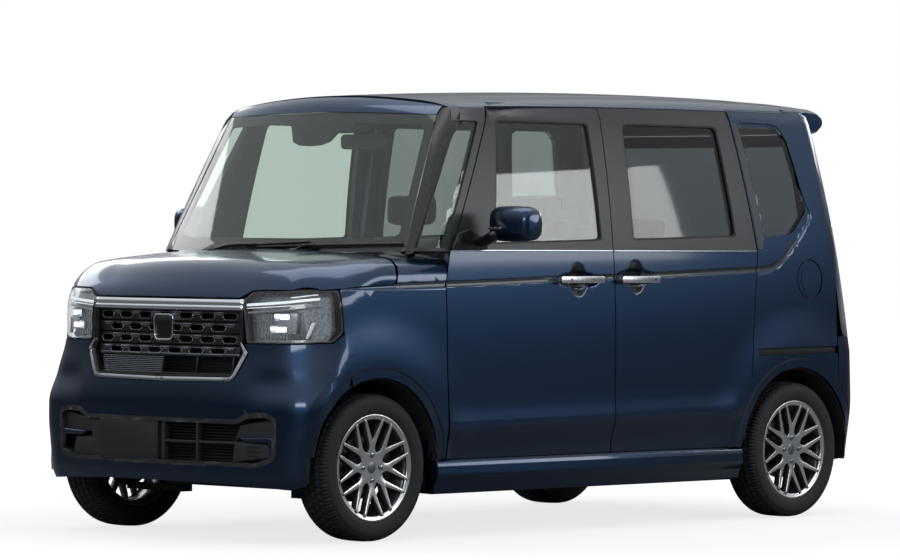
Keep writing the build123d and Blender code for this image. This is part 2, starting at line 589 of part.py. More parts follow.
def on_column(distance):
    """Point on the steering column, measured forwards from the wheel centre."""
    x, y, z = STEER_CENTRE
    return (x + distance * cos(radians(STEER_RAKE)), y, z - distance * sin(radians(STEER_RAKE)))


def steering_wheel():
    """Steering wheel: rim, three spokes and hub."""
    frame = Plane(origin=STEER_CENTRE, x_dir=(0, 1, 0), z_dir=(-cos(radians(STEER_RAKE)), 0, sin(radians(STEER_RAKE))))
    rim = frame * Torus(STEER_RADIUS, 14.0)
    hub = frame * Pos(0, 0, -14.85) * Cylinder(52.0, 29.7)
    solid = rim + hub
    for angle in (0.0, 180.0, 270.0):
        spoke = frame * Rot(0, 0, angle) * Pos(STEER_RADIUS / 2 + 10.0, 0, -8.0) * Box(STEER_RADIUS - 30.0, 34.0, 12.0)
        solid = solid + spoke
    return one(solid)


def seat(centre_y, width, cushion_x, base_z, back_top_z):
    """Soft parts of one seat: cushion, backrest and headrest."""
    rear_x, front_x = cushion_x
    cushion = box((rear_x, centre_y - width / 2, base_z), (front_x, centre_y + width / 2, base_z + 130.0))
    cushion = fillet(cushion.edges().filter_by(Axis.Y), 40.0)
    low_y, high_y = centre_y - width / 2 + 10.0, centre_y + width / 2 - 10.0
    height = back_top_z - base_z - 60.0
    lean = 0.30
    back = side_prism([(rear_x - 5.0, base_z + 60.0), (rear_x - 5.0 - lean * height, back_top_z),
                       (rear_x - 105.0 - lean * height, back_top_z), (rear_x - 125.0, base_z + 60.0)], low_y, high_y)
    back = fillet(back.edges().filter_by(Axis.Y), 30.0)
    head_x = rear_x - 60.0 - lean * height
    head = box((head_x - 50.0, centre_y - 125.0, back_top_z + SEAT_GAP), (head_x + 45.0, centre_y + 125.0, back_top_z + 165.0))
    head = fillet(head.edges().filter_by(Axis.X), 40.0)
    return [one(cushion), one(back), one(head)]


FRONT_SEAT_X = (30.0, 500.0)
REAR_SEAT_X = (-690.0, -230.0)
SEAT_BASE_Z = 560.0
SEAT_Y = 340.0


def seat_bases():
    """Seat pedestals that stand on the floor."""
    floor = FLOOR_Z + FLOOR_THICKNESS
    solids = []
    for side in (1.0, -1.0):
        low = box((FRONT_SEAT_X[0] + 20.0, side * SEAT_Y - 190.0, floor), (FRONT_SEAT_X[1] - 60.0, side * SEAT_Y + 190.0, SEAT_BASE_Z - SEAT_GAP))
        low = low - box((FRONT_SEAT_X[0] - 20.0, side * SEAT_Y - 150.0, floor + 40.0), (FRONT_SEAT_X[1], side * SEAT_Y + 150.0, SEAT_BASE_Z - 60.0))
        back = box((FRONT_SEAT_X[0] - 118.0, side * SEAT_Y - 180.0, SEAT_BASE_Z + 20.0), (FRONT_SEAT_X[0] + 20.5, side * SEAT_Y + 180.0, SEAT_BASE_Z + 60.0 - SEAT_GAP))
        link = box((FRONT_SEAT_X[0] - 118.0, side * SEAT_Y - 180.0, SEAT_BASE_Z - 40.0), (FRONT_SEAT_X[0] + 60.0, side * SEAT_Y + 180.0, SEAT_BASE_Z - SEAT_GAP))
        drop = box((FRONT_SEAT_X[0] - 118.0, side * SEAT_Y - 180.0, SEAT_BASE_Z - 40.0), (FRONT_SEAT_X[0] - 0.5, side * SEAT_Y + 180.0, SEAT_BASE_Z + 60.0 - SEAT_GAP))
        solids.append(one(low + link + drop))
    rear = box((REAR_SEAT_X[0] + 10.0, -520.0, floor), (REAR_SEAT_X[1] - 60.0, 520.0, SEAT_BASE_Z - 20.0 - SEAT_GAP))
    rear = rear - box((REAR_SEAT_X[0] + 60.0, -600.0, floor + 30.0), (REAR_SEAT_X[1], 600.0, SEAT_BASE_Z - 70.0))
    rear = rear + box((REAR_SEAT_X[0] - 125.0, -520.0, SEAT_BASE_Z - 60.0), (REAR_SEAT_X[0] + 20.0, 520.0, SEAT_BASE_Z - 20.0 - SEAT_GAP))
    rear = rear + box((REAR_SEAT_X[0] - 125.0, -520.0, SEAT_BASE_Z - 60.0), (REAR_SEAT_X[0] - 0.5, 520.0, SEAT_BASE_Z + 40.0 - SEAT_GAP))
    solids.append(one(rear))
    return solids


def engine():
    """Engine and gearbox as one block on its mounts."""
    width = RAIL_INNER_Y - SEAT_GAP
    return one(box((1060.0, -width, RAIL_Z + 10.0), (1420.0, width, 720.0)))


def exhaust():
    """Exhaust pipe and silencer under the floor."""
    path = [(1050.0, -60.0, 186.0), (-1120.0, -60.0, 182.0), (-1400.0, -200.0, 335.0)]
    pipe = rod(path[0], path[1], 22.0) + rod(path[1], path[2], 22.0) + Pos(*path[1]) * Sphere(22.0)
    silencer = Pos(-1480.0, -260.0, 340.0) * Box(190.0, 420.0, 130.0)
    silencer = fillet(silencer.edges().filter_by(Axis.Y), 45.0)
    outlet = rod((-1500.0, -430.0, 310.0), (-1682.0, -430.0, 220.0), 22.0)
    hanger = box((-1490.0, -270.0, 400.0), (-1470.0, -250.0, LOAD_FLOOR_Z))
    return one(pipe + silencer + outlet + hanger)


# ---------------------------------------------------------------- suspension and wheels
def front_suspension():
    """Subframe, lower arms and strut tops."""
    beam = box((1150.0, -330.0, 185.0), (1330.0, 330.0, RAIL_Z))
    solid = beam
    for side in (1.0, -1.0):
        arm = side_prism([(FRONT_AXLE_X - 25.0, 150.0), (FRONT_AXLE_X + 25.0, 150.0), (FRONT_AXLE_X + 25.0, 176.0),
                          (FRONT_AXLE_X - 25.0, 176.0)], 320.0, KINGPIN_Y + 22.0)
        riser = box((FRONT_AXLE_X - 25.0, 300.0, 150.0), (FRONT_AXLE_X + 25.0, 345.0, 200.0))
        arm = arm + riser
        solid = solid + (arm if side > 0 else mirror(arm, about=Plane.XZ))
    return one(solid)


def strut():
    """Left strut and spring between the wheelhouse and the knuckle."""
    foot = STRUT_FOOT_Z + 16.0 + SEAT_GAP
    spring = rod((FRONT_AXLE_X, KINGPIN_Y, foot), (FRONT_AXLE_X, KINGPIN_Y, 800.0), STRUT_RADIUS)
    return one(spring)


def knuckle():
    """Left knuckle: hub carrier, neck over the tyre, caliper and lower ball."""
    spindle = rod((FRONT_AXLE_X, NECK_INNER_Y, WHEEL_Z), (FRONT_AXLE_X, DISC_Y - 20.0, WHEEL_Z), 42.0)
    neck = box((FRONT_AXLE_X - 24.0, NECK_INNER_Y, 210.0), (FRONT_AXLE_X + 24.0, NECK_OUTER_Y, STRUT_FOOT_Z + 16.0))
    seat_plate = box((FRONT_AXLE_X - 24.0, NECK_INNER_Y, STRUT_FOOT_Z), (FRONT_AXLE_X + 24.0, KINGPIN_Y + 20.0, STRUT_FOOT_Z + 16.0))
    ball = rod((FRONT_AXLE_X, KINGPIN_Y, 176.0 + SEAT_GAP), (FRONT_AXLE_X, KINGPIN_Y, 260.0), 14.0)
    caliper = (rod((FRONT_AXLE_X, DISC_Y - 26.0, WHEEL_Z), (FRONT_AXLE_X, DISC_Y + 24.0, WHEEL_Z), 148.0)
               - rod((FRONT_AXLE_X, DISC_Y - 12.0, WHEEL_Z), (FRONT_AXLE_X, DISC_Y + 12.0, WHEEL_Z), DISC_RADIUS + 6.0)
               - rod((FRONT_AXLE_X, DISC_Y - 30.0, WHEEL_Z), (FRONT_AXLE_X, DISC_Y + 30.0, WHEEL_Z), 84.0))
    caliper = caliper & box((FRONT_AXLE_X - 200.0, 500.0, WHEEL_Z - 52.0), (FRONT_AXLE_X - 60.0, 720.0, WHEEL_Z + 62.0))
    bracket = box((FRONT_AXLE_X - 110.0, DISC_Y - 34.0, WHEEL_Z - 30.0), (FRONT_AXLE_X, DISC_Y - 22.0, WHEEL_Z + 30.0))
    return one(spindle + neck + seat_plate + ball + caliper + bracket)


def rear_axle():
    """Torsion beam, trailing arms and stub axles."""
    beam = rod((-1040.0, -500.0, 270.0), (-1040.0, 500.0, 270.0), 38.0)
    solid = beam
    for side in (1.0, -1.0):
        arm = rod((-860.0, side * 480.0, 300.0), (REAR_AXLE_X, side * 500.0, WHEEL_Z), 30.0)
        stub = rod((REAR_AXLE_X, side * 470.0, WHEEL_Z), (REAR_AXLE_X, side * (DISC_Y - 20.0), WHEEL_Z), 42.0)
        bush = rod((-860.0, side * 450.0, 300.0), (-860.0, side * 520.0, 300.0), 34.0)
        hanger = box((-885.0, side * 480.0 - 22.0, 310.0), (-835.0, side * 480.0 + 22.0, LOAD_FLOOR_Z))
        damper = rod((REAR_AXLE_X, side * 500.0, WHEEL_Z), (REAR_AXLE_X + 30.0, side * 500.0, LOAD_FLOOR_Z - SEAT_GAP), 26.0)
        solid = solid + arm + stub + bush + hanger
        solid = solid + (damper & box((-1700.0, -700.0, 0.0), (0.0, 700.0, LOAD_FLOOR_Z)))
    return one(solid)


def tyre(axle_x):
    """Left tyre, turned about its axle."""
    half = TYRE_WIDTH / 2
    points = [(BEAD_RADIUS, -half + 16.0), (BEAD_RADIUS + 8.0, -half + 8.0), (235.0, -half, "via"), (264.0, -half + 8.0),
              (276.0, -half + 14.0, "via"), (TYRE_RADIUS, -half + 28.0), (TYRE_RADIUS, half - 28.0),
              (276.0, half - 14.0, "via"), (264.0, half - 8.0), (235.0, half, "via"), (BEAD_RADIUS + 8.0, half - 8.0),
              (BEAD_RADIUS, half - 16.0)]
    profile = Plane(origin=(axle_x, WHEEL_Y, WHEEL_Z), x_dir=(1, 0, 0), z_dir=(0, 0, 1)) * face_of(edges_of(points))
    return one(revolve(profile, Axis((axle_x, 0, WHEEL_Z), (0, 1, 0)), 360.0))


def wheel(axle_x):
    """Left wheel: rim barrel, forked spokes, hub and brake disc."""
    half = TYRE_WIDTH / 2 - 16.0
    barrel = [(RIM_RADIUS, -half), (RIM_RADIUS, half), (RIM_RADIUS - 14.0, half - 2.0), (RIM_RADIUS - 20.0, half - 30.0),
              (RIM_RADIUS - 20.0, -half + 10.0), (RIM_RADIUS - 8.0, -half)]
    section = Plane(origin=(axle_x, WHEEL_Y, WHEEL_Z), x_dir=(1, 0, 0), z_dir=(0, 0, 1)) * face_of(edges_of(barrel))
    solid = revolve(section, Axis((axle_x, 0, WHEEL_Z), (0, 1, 0)), 360.0)
    face = Plane(origin=(axle_x, SPOKE_FACE_Y, WHEEL_Z), x_dir=(1, 0, 0), z_dir=(0, 1, 0))
    solid = solid + face * Pos(0, 0, -SPOKE_DEPTH / 2) * Cylinder(HUB_RADIUS, SPOKE_DEPTH)
    for index in range(SPOKES):
        angle = 360.0 / SPOKES * (index + 0.5)
        root = face * Rot(0, 0, angle) * Pos(FORK_RADIUS / 2 + 20.0, 0, -SPOKE_DEPTH / 2) * Box(FORK_RADIUS - 30.0, SPOKE_WIDTH + 4.0, SPOKE_DEPTH)
        solid = solid + root
        for fork in (-1.0, 1.0):
            reach = RIM_RADIUS - 12.0 - FORK_RADIUS + 14.0
            arm = Pos(FORK_RADIUS - 8.0, 0, -SPOKE_DEPTH / 2) * Rot(0, 0, fork * 19.0) * Pos(reach / 2, 0, 0) * Box(reach, SPOKE_WIDTH - 3.0, SPOKE_DEPTH)
            solid = solid + face * Rot(0, 0, angle) * arm
    drum_hub = rod((axle_x, DISC_Y - 20.0 + SEAT_GAP, WHEEL_Z), (axle_x, SPOKE_FACE_Y - 10.0, WHEEL_Z), 58.0)
    disc = rod((axle_x, DISC_Y - DISC_THICKNESS / 2, WHEEL_Z), (axle_x, DISC_Y + DISC_THICKNESS / 2, WHEEL_Z), DISC_RADIUS)
    return one(solid + drum_hub + disc)


# ---------------------------------------------------------------- fittings
def mirror_housing():
    """Left door mirror on its foot."""
    foot = side_prism([(800.0, 1118.0), (640.0, 1118.0), (640.0, 1140.0), (700.0, 1225.0), (735.0, 1225.0)], 690.0, 760.0)
    foot = foot - cabin(0.0)
    arm = box((660.0, 730.0, 1130.0), (730.0, 800.0, 1160.0)) - cabin(0.0)
    shell = box((570.0, 775.0, 1140.0), (690.0, 985.0, 1280.0))
    shell = fillet(shell.edges(), 26.0)
    return one(foot + arm + shell)


def door_handle(low_x, high_x):
    """Pull handle on two feet, standing off the skin."""
    bar = box((low_x, 745.0, 978.0), (high_x, 759.0, 1008.0))
    bar = fillet(bar.edges().filter_by(Axis.X), 5.0)
    feet = [box((x, 726.0, 984.0), (x + 24.0, 748.0, 1002.0)) for x in (low_x + 6.0, high_x - 30.0)]
    return one(bar + (feet[0] - cabin(0.0)) + (feet[1] - cabin(0.0)))


def wipers():
    """Two screen wipers parked on the cowl."""
    solids = []
    for pivot_y, tip_y in ((-330.0, 200.0), (140.0, 600.0)):
        post = rod((1113.0, pivot_y, COWL_Z), (1113.0, pivot_y, 1118.0), 6.0)
        arm = rod((1113.0, pivot_y, 1114.0), (1110.0, tip_y, 1116.0), 6.0)
        solids.append(one(post + arm))
    return solids


# ---------------------------------------------------------------- assembly
NODES = {}


def add(name, *solids):
    """Register the solids that make up one node."""
    NODES[name] = list(solids)


door = front_door()
door_pane = pane(DOOR_WINDOW)
door_mirror = mirror_housing()
door_pull = door_handle(-35.0, 226.0)
for side, place in (("left", lambda s: s), ("right", lambda s: mirror(s, about=Plane.XZ))):
    add(f"front_door_{side}", place(door))
    add(f"door_glass_{side}", place(door_pane))
    add(f"mirror_{side}", place(door_mirror))
    add(f"door_handle_{side}", place(door_pull))
    add(f"knuckle_{side}", place(knuckle()))
for axle, axle_x in (("front", FRONT_AXLE_X), ("rear", REAR_AXLE_X)):
    for side, place in (("left", lambda s: s), ("right", lambda s: mirror(s, about=Plane.XZ))):
        add(f"tyre_{axle}_{side}", place(tyre(axle_x)))
        add(f"wheel_{axle}_{side}", place(wheel(axle_x)))

right_side = one(mirror(body_side(), about=Plane.XZ))
add("body_sides", body_side(), right_side)
add("roof", roof())
add("scuttle", scuttle())
add("wings", *both_sides(wing()))
add("bonnet", bonnet())
add("front_bumper", front_bumper())
add("rear_bumper", rear_bumper())
add("grille", *grille())
add("headlamps", *both_sides(headlamp()))
add("tail_lamps", *both_sides(tail_lamp()))
add("sliding_doors", *both_sides(sliding_door()))
add("sliding_door_handles", *both_sides(door_handle(-373.0, -140.0)))
add("tailgate", tailgate())
add("fuel_flap", fuel_flap())
add("windscreen", whole(screen_pane()))
add("side_glass", *both_sides(pane(SLIDE_WINDOW)), *both_sides(pane(QUARTER_WINDOW)), *both_sides(pane(QUARTER_LIGHT)))
add("tailgate_glass", one((cabin(GLASS_INSET) - cabin(GLASS_INSET + GLASS_THICKNESS)) & end_prism(offset_corners(GATE_WINDOW, -GLASS_CLEARANCE), TAIL_X, -1380.0)))
add("wipers", *wipers())
add("floor_pan", floor_pan())
add("wheelhouses", *both_sides(wheelhouse(FRONT_AXLE_X, 395.0)), *both_sides(wheelhouse(REAR_AXLE_X, 545.0)))
add("dashboard", dashboard())
add("steering_wheel", steering_wheel())
add("front_seats", *seat(SEAT_Y, 480.0, FRONT_SEAT_X, SEAT_BASE_Z, 1180.0), *seat(-SEAT_Y, 480.0, FRONT_SEAT_X, SEAT_BASE_Z, 1180.0))
add("rear_seat", *seat(270.0, 520.0, REAR_SEAT_X, SEAT_BASE_Z - 20.0, 1130.0), *seat(-270.0, 520.0, REAR_SEAT_X, SEAT_BASE_Z - 20.0, 1130.0))
add("seat_bases", *seat_bases())
add("engine_block", engine())
add("exhaust", exhaust())
add("front_suspension", front_suspension())
add("struts", *both_sides(strut()))
add("rear_axle", rear_axle())

os.makedirs("parts", exist_ok=True)
for name, solids in NODES.items():
    shape = solids[0] if len(solids) == 1 else Compound(children=list(solids))
    export_step(shape, f"parts/{name}.step")
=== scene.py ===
"""Finished look of a small tall-bodied car, built piece by piece over its construction frame."""

from __future__ import annotations

import logging
import math
from dataclasses import dataclass
from enum import Enum
from typing import Callable, Iterable, Sequence

import bmesh
import bpy
import numpy as np
from mathutils import Matrix, Vector

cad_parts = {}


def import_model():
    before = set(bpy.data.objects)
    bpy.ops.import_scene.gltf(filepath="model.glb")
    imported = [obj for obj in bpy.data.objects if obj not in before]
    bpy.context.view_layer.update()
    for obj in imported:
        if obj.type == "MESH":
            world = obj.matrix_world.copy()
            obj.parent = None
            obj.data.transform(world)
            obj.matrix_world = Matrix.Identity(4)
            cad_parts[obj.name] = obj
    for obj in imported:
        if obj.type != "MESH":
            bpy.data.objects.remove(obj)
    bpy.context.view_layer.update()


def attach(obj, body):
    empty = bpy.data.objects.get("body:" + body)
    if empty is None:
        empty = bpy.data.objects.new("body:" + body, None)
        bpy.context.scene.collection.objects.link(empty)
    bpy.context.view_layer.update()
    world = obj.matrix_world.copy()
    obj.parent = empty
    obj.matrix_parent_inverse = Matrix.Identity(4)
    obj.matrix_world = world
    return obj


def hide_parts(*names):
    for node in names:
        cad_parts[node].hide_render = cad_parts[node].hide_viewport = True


LOG = logging.getLogger("kei_car")
Table = Sequence[Sequence[float]]
Field = np.ndarray
Rays = Callable[[Field, Field], tuple[Field, Field]]
Flat = Callable[[float, float, float], tuple[float, float]]

# Places of the wheels, radius of the arches and height of the belt, in metres in the car's frame.
WHEEL_Z = 0.28125
FRONT_AXLE = 1.2425
REAR_AXLE = -1.2775
WHEEL_Y = 0.6475
ARCH = 0.343
BELT = 1.110


# ---------------------------------------------------------------- colour and nodes
def linear(hex_colour: str, alpha: float = 1.0) -> tuple[float, float, float, float]:
    """Turns an sRGB hex colour into linear light.

    Args:
        hex_colour: colour as six hex digits, with or without the hash.
        alpha: opacity put in the fourth place.

    Returns:
        Linear red, green, blue and alpha.
    """
    digits = hex_colour.lstrip("#")
    channels = [int(digits[i:i + 2], 16) / 255.0 for i in (0, 2, 4)]
    light = [c / 12.92 if c <= 0.04045 else ((c + 0.055) / 1.055) ** 2.4 for c in channels]
    return light[0], light[1], light[2], alpha


def add(tree: bpy.types.NodeTree, kind: str, links: dict[str | int, bpy.types.NodeSocket] | None = None,
        inputs: dict[str | int, object] | None = None, **settings: object) -> bpy.types.Node:
    """Adds one node with its settings, socket values and links.

    Args:
        tree: node tree that gets the node.
        kind: node type without its ShaderNode prefix.
        links: sockets that feed the node's inputs.
        inputs: constant values for the node's inputs.
        **settings: attributes of the node itself.

    Returns:
        The new node.
    """
    node = tree.nodes.new("ShaderNode" + kind)
    for name, value in settings.items():
        setattr(node, name, value)
    for key, value in (inputs or {}).items():
        node.inputs[key].default_value = value
    for key, socket in (links or {}).items():
        tree.links.new(socket, node.inputs[key])
    return node


@dataclass(frozen=True)
class Finish:
    """A surface: its colour, gloss and the fine detail the eye reads on it."""

    name: str
    colour: str
    roughness: float = 0.5
    metallic: float = 0.0
    ior: float = 1.5
    coat: float = 0.0
    coat_roughness: float = 0.03
    sheen: float = 0.0
    transmission: float = 0.0
    glow: float = 0.0
    second: str = ""
    grain_mm: float = 2.0
    mottle: float = 0.0
    rough_swing: float = 0.05
    bump: float = 0.0
    cells: bool = False
    anisotropic: float = 0.0

    def material(self) -> bpy.types.Material:
        """Makes the material once and hands the same one back afterwards."""
        known = bpy.data.materials.get(self.name)
        return known if known else self.build()

    def build(self) -> bpy.types.Material:
        """Builds the node material.

        Returns:
            The finished material.
        """
        mat = bpy.data.materials.new(self.name)
        mat.use_nodes = True
        tree = mat.node_tree
        tree.nodes.clear()
        shader = add(tree, "BsdfPrincipled", inputs={
            "Base Color": linear(self.colour), "Metallic": self.metallic, "Roughness": self.roughness,
            "IOR": self.ior, "Coat Weight": self.coat, "Coat Roughness": self.coat_roughness,
            "Sheen Weight": self.sheen, "Transmission Weight": self.transmission,
            "Emission Strength": self.glow, "Emission Color": linear(self.colour),
            "Anisotropic": self.anisotropic})
        grain = self.grain(tree, add(tree, "TexCoord").outputs["Object"])
        self.tint(tree, shader, grain)
        self.gloss(tree, shader, grain)
        if self.bump:
            depth = self.grain_mm / 4000
            ridge = add(tree, "Bump", links={"Height": grain}, inputs={"Strength": self.bump, "Distance": depth})
            tree.links.new(ridge.outputs["Normal"], shader.inputs["Normal"])
        add(tree, "OutputMaterial", links={"Surface": shader.outputs["BSDF"]})
        return mat

    def grain(self, tree: bpy.types.NodeTree, place: bpy.types.NodeSocket) -> bpy.types.NodeSocket:
        """Adds the pattern that carries the grain.

        Args:
            tree: node tree of the material.
            place: coordinates in object space.

        Returns:
            The socket with the pattern's height, 0 to 1.
        """
        scale = 1000.0 / self.grain_mm
        if self.cells:
            return add(tree, "TexVoronoi", links={"Vector": place}, inputs={"Scale": scale}).outputs["Distance"]
        noise = add(tree, "TexNoise", links={"Vector": place},
                    inputs={"Scale": scale, "Detail": 4.0, "Roughness": 0.6})
        return noise.outputs["Fac"]

    def tint(self, tree: bpy.types.NodeTree, shader: bpy.types.Node, grain: bpy.types.NodeSocket) -> None:
        """Mixes the second colour in along the grain.

        Args:
            tree: node tree of the material.
            shader: its surface shader.
            grain: pattern socket.
        """
        if not self.mottle:
            return
        ramp = add(tree, "ValToRGB", links={"Fac": grain})
        low, high = ramp.color_ramp.elements
        low.position, low.color = 0.5 - self.mottle / 2, linear(self.colour)
        high.position, high.color = 0.5 + self.mottle / 2, linear(self.second or self.colour)
        tree.links.new(ramp.outputs["Color"], shader.inputs["Base Color"])

    def gloss(self, tree: bpy.types.NodeTree, shader: bpy.types.Node, grain: bpy.types.NodeSocket) -> None:
        """Lets the roughness swing along the grain.

        Args:
            tree: node tree of the material.
            shader: its surface shader.
            grain: pattern socket.
        """
        low, high = max(self.roughness - self.rough_swing, 0.0), min(self.roughness + self.rough_swing, 1.0)
        swing = add(tree, "MapRange", links={"Value": grain}, inputs={"To Min": low, "To Max": high})
        tree.links.new(swing.outputs["Result"], shader.inputs["Roughness"])


# Two-stage metallic body paint: flakes give a soft broad highlight, the clear coat a sharp one over it.
PAINT = Finish("deep_blue_metallic_paint", "#142c48", 0.34, 0.95, coat=0.8, coat_roughness=0.09,
               second="#17324f",
               grain_mm=0.9, mottle=0.35, rough_swing=0.04)
# Injection-moulded piano-black acrylic on the pillars: deep, slightly wavy gloss.
GLOSS_BLACK = Finish("gloss_black_acrylic", "#0b0c0e", 0.30, coat=0.2, grain_mm=180.0, rough_swing=0.03)
# Matt film on the door frames: dark grey with a faint sheen.
FRAME_FILM = Finish("satin_black_film", "#26282b", 0.38, grain_mm=1.2, mottle=0.3, second="#2e3034",
                    bump=0.1)
# Grained polypropylene of bumper inserts and cowl: fine leather-like grain breaks up the shine.
GRAINED = Finish("grained_black_polypropylene", "#232427", 0.52, grain_mm=1.6, mottle=0.4,
                 second="#2b2c30", bump=0.5, cells=True)
# Smooth moulded polypropylene inside the grille: nearly black.
DEEP_BLACK = Finish("moulded_black_polypropylene", "#0d0e10", 0.42, grain_mm=3.0, mottle=0.4,
                    second="#14161a", bump=0.1)
# Bright chrome plate on ABS.
CHROME = Finish("bright_chrome_plate", "#dfe3e8", 0.07, 1.0, grain_mm=40.0, rough_swing=0.03)
# Dark chrome plate of the grille accents.
DARK_CHROME = Finish("dark_chrome_plate", "#8f959c", 0.16, 1.0, grain_mm=30.0, rough_swing=0.05)
# Satin nickel on the pull handles.
SATIN = Finish("satin_silver_plate", "#c9ccd0", 0.28, 1.0, grain_mm=6.0, rough_swing=0.06)
# Machined face of the cast wheel under lacquer: fine turning lines.
MACHINED = Finish("machined_aluminium", "#cfd2d4", 0.27, 1.0, coat=0.3, grain_mm=0.7, rough_swing=0.08,
                  anisotropic=0.3)
# Painted pockets of the cast wheel: dark silver enamel.
CAST_GREY = Finish("dark_silver_wheel_enamel", "#74777b", 0.34, 0.75, grain_mm=1.0, mottle=0.4,
                   second="#64686d")
# Turned grey iron of the brake discs.
IRON = Finish("turned_grey_iron", "#5d5f62", 0.4, 1.0, grain_mm=1.0, mottle=0.5, second="#3f4043",
              rough_swing=0.12)
# Cast iron and steel under the floor: dull and slightly dusty.
CAST_IRON = Finish("sand_cast_iron", "#2b2b2d", 0.7, 0.4, grain_mm=5.0, mottle=0.5, second="#3a3836",
                   bump=0.4)
# Steel pressings with underbody seal.
UNDERSEAL = Finish("black_underbody_seal", "#101113", 0.8, grain_mm=4.0, mottle=0.5, second="#191a1c",
                   bump=0.5)
# Carbon-black tyre rubber: dark grey with a dusty bloom.
RUBBER = Finish("vulcanised_tyre_rubber", "#141517", 0.74, grain_mm=7.0, mottle=0.6, second="#1b1c1e",
                bump=0.15)
# Extruded EPDM weatherstrip.
SEAL = Finish("epdm_weatherstrip", "#0c0d0e", 0.6, grain_mm=2.0, mottle=0.4, second="#131416", bump=0.1)
# Painted steel of the wiper arms.
WIPER = Finish("satin_black_enamel", "#121315", 0.4, grain_mm=1.5, rough_swing=0.06)
# Tempered glass with a green-grey body tint.
CLEAR_GLASS = Finish("tinted_float_glass", "#d3ded8", 0.0, transmission=1.0, ior=1.05, coat=0.8,
                     grain_mm=400.0, rough_swing=0.0)
# Privacy glass for the rear half: dark smoke.
PRIVACY = Finish("smoked_privacy_glass", "#83888b", 0.0, transmission=1.0, ior=1.05, coat=0.8,
                 grain_mm=400.0, rough_swing=0.0)
# Clear polycarbonate lamp covers.
LENS = Finish("clear_polycarbonate", "#f4f7f9", 0.0, transmission=1.0, ior=1.3, grain_mm=300.0,
              rough_swing=0.0)
# Red acrylic of the tail lamps.
RED_LENS = Finish("red_acrylic", "#a80f14", 0.08, coat=0.6, grain_mm=2.5, mottle=0.3, second="#7d0a0e",
                  cells=True)
# Amber acrylic.
AMBER = Finish("amber_acrylic", "#d9791e", 0.12, coat=0.5, grain_mm=2.5, mottle=0.3, second="#b85f12",
               cells=True)
# Frosted light guides: they read as white bars.
GUIDE = Finish("frosted_light_guide", "#f1f5f8", 0.35, glow=0.3, grain_mm=3.0, rough_swing=0.1)
# Lit projector lenses.
LIT = Finish("lit_projector_lens", "#ffffff", 0.1, glow=1.2, grain_mm=3.0, rough_swing=0.02)
# Vacuum-metallised lamp bowl: soft grey mirror.
BOWL = Finish("metallised_lamp_bowl", "#8f9499", 0.34, 0.75, grain_mm=9.0, mottle=0.4, second="#565b60")
# Grained soft-touch polyurethane of the dashboard.
DASH = Finish("grained_polyurethane_dash", "#1f2022", 0.62, grain_mm=1.8, mottle=0.5, second="#26272a",
              bump=0.5, cells=True)
# Door and pillar trims: moulded polypropylene.
TRIM = Finish("moulded_interior_trim", "#1b1c1e", 0.6, grain_mm=2.0, mottle=0.4, second="#232427",
              bump=0.3, cells=True)
# Non-woven headlining.
HEADLINING = Finish("non_woven_headlining", "#8b8d8c", 0.9, sheen=0.2, grain_mm=1.5, mottle=0.6,
                    second="#7d7f7e", bump=0.4)
# Needle-felt carpet.
CARPET = Finish("needle_felt_carpet", "#17181a", 0.95, sheen=0.3, grain_mm=2.2, mottle=0.7,
                second="#222326", bump=0.8)
# Leather rim of the steering wheel.
LEATHER = Finish("black_steering_leather", "#151516", 0.5, grain_mm=1.4, mottle=0.4, second="#1d1d1f",
                 bump=0.5, cells=True)
# Blank anodised plate.
PLATE = Finish("blank_painted_plate", "#232629", 0.42, grain_mm=60.0, mottle=0.5, second="#272a2d",
               rough_swing=0.04)
# Nearly black panel behind the grille openings.
VOID = Finish("dark_radiator_core", "#08090a", 0.7, grain_mm=3.0, mottle=0.5, second="#101113", bump=0.3)

# Charcoal knit over foam: a fine weave with a faint sheen at grazing angles.
SEAT_CLOTH = Finish("charcoal_seat_knit", "#26272b", 0.88, sheen=0.35, grain_mm=1.6, mottle=0.6,
                    second="#303238", bump=0.6, cells=True)
# Rolled steel pipe, dulled by heat.
STEEL = Finish("heat_dulled_steel", "#77736c", 0.42, 1.0, grain_mm=8.0, mottle=0.5, second="#5c5650",
               rough_swing=0.12)
# Clear outer lens of the tail lamp over a pale silver reflector.
TAIL_LENS = Finish("clear_tail_lens", "#d3d6d8", 0.12, 0.35, coat=0.8, grain_mm=3.5, mottle=0.3,
                   second="#b9bcbf", cells=True)


# ---------------------------------------------------------------- outlines
def rounded(points: Table, steps: int = 6) -> list[tuple[float, float]]:
    """Rounds the corners of a closed outline.

    Args:
        points: corners as (u, v) or (u, v, radius).
        steps: pieces in each corner's arc.

    Returns:
        The outline with its corners drawn out.
    """
    result: list[tuple[float, float]] = []
    count = len(points)
    for i, point in enumerate(points):
        corner = Vector(point[:2])
        radius = point[2] if len(point) > 2 else 0.0
        before = Vector(points[i - 1][:2]) - corner
        after = Vector(points[(i + 1) % count][:2]) - corner
        if radius <= 0.0 or before.length < 1e-6 or after.length < 1e-6:
            result.append((corner.x, corner.y))
            continue
        half = before.angle(after) / 2
        reach = min(radius / max(math.tan(half), 1e-3), before.length * 0.49, after.length * 0.49)
        start, end = corner + before.normalized() * reach, corner + after.normalized() * reach
        for k in range(steps + 1):
            t = k / steps
            bent = start * (1 - t) ** 2 + corner * (2 * t * (1 - t)) + end * t ** 2
            result.append((bent.x, bent.y))
    return result


def arc(cx: float, cy: float, radius: float, start: float, end: float, steps: int) -> list[tuple[float, float]]:
    """Points on a circular arc, angles in degrees."""
    turns = [math.radians(start + (end - start) * k / steps) for k in range(steps + 1)]
    return [(cx + radius * math.cos(a), cy + radius * math.sin(a)) for a in turns]


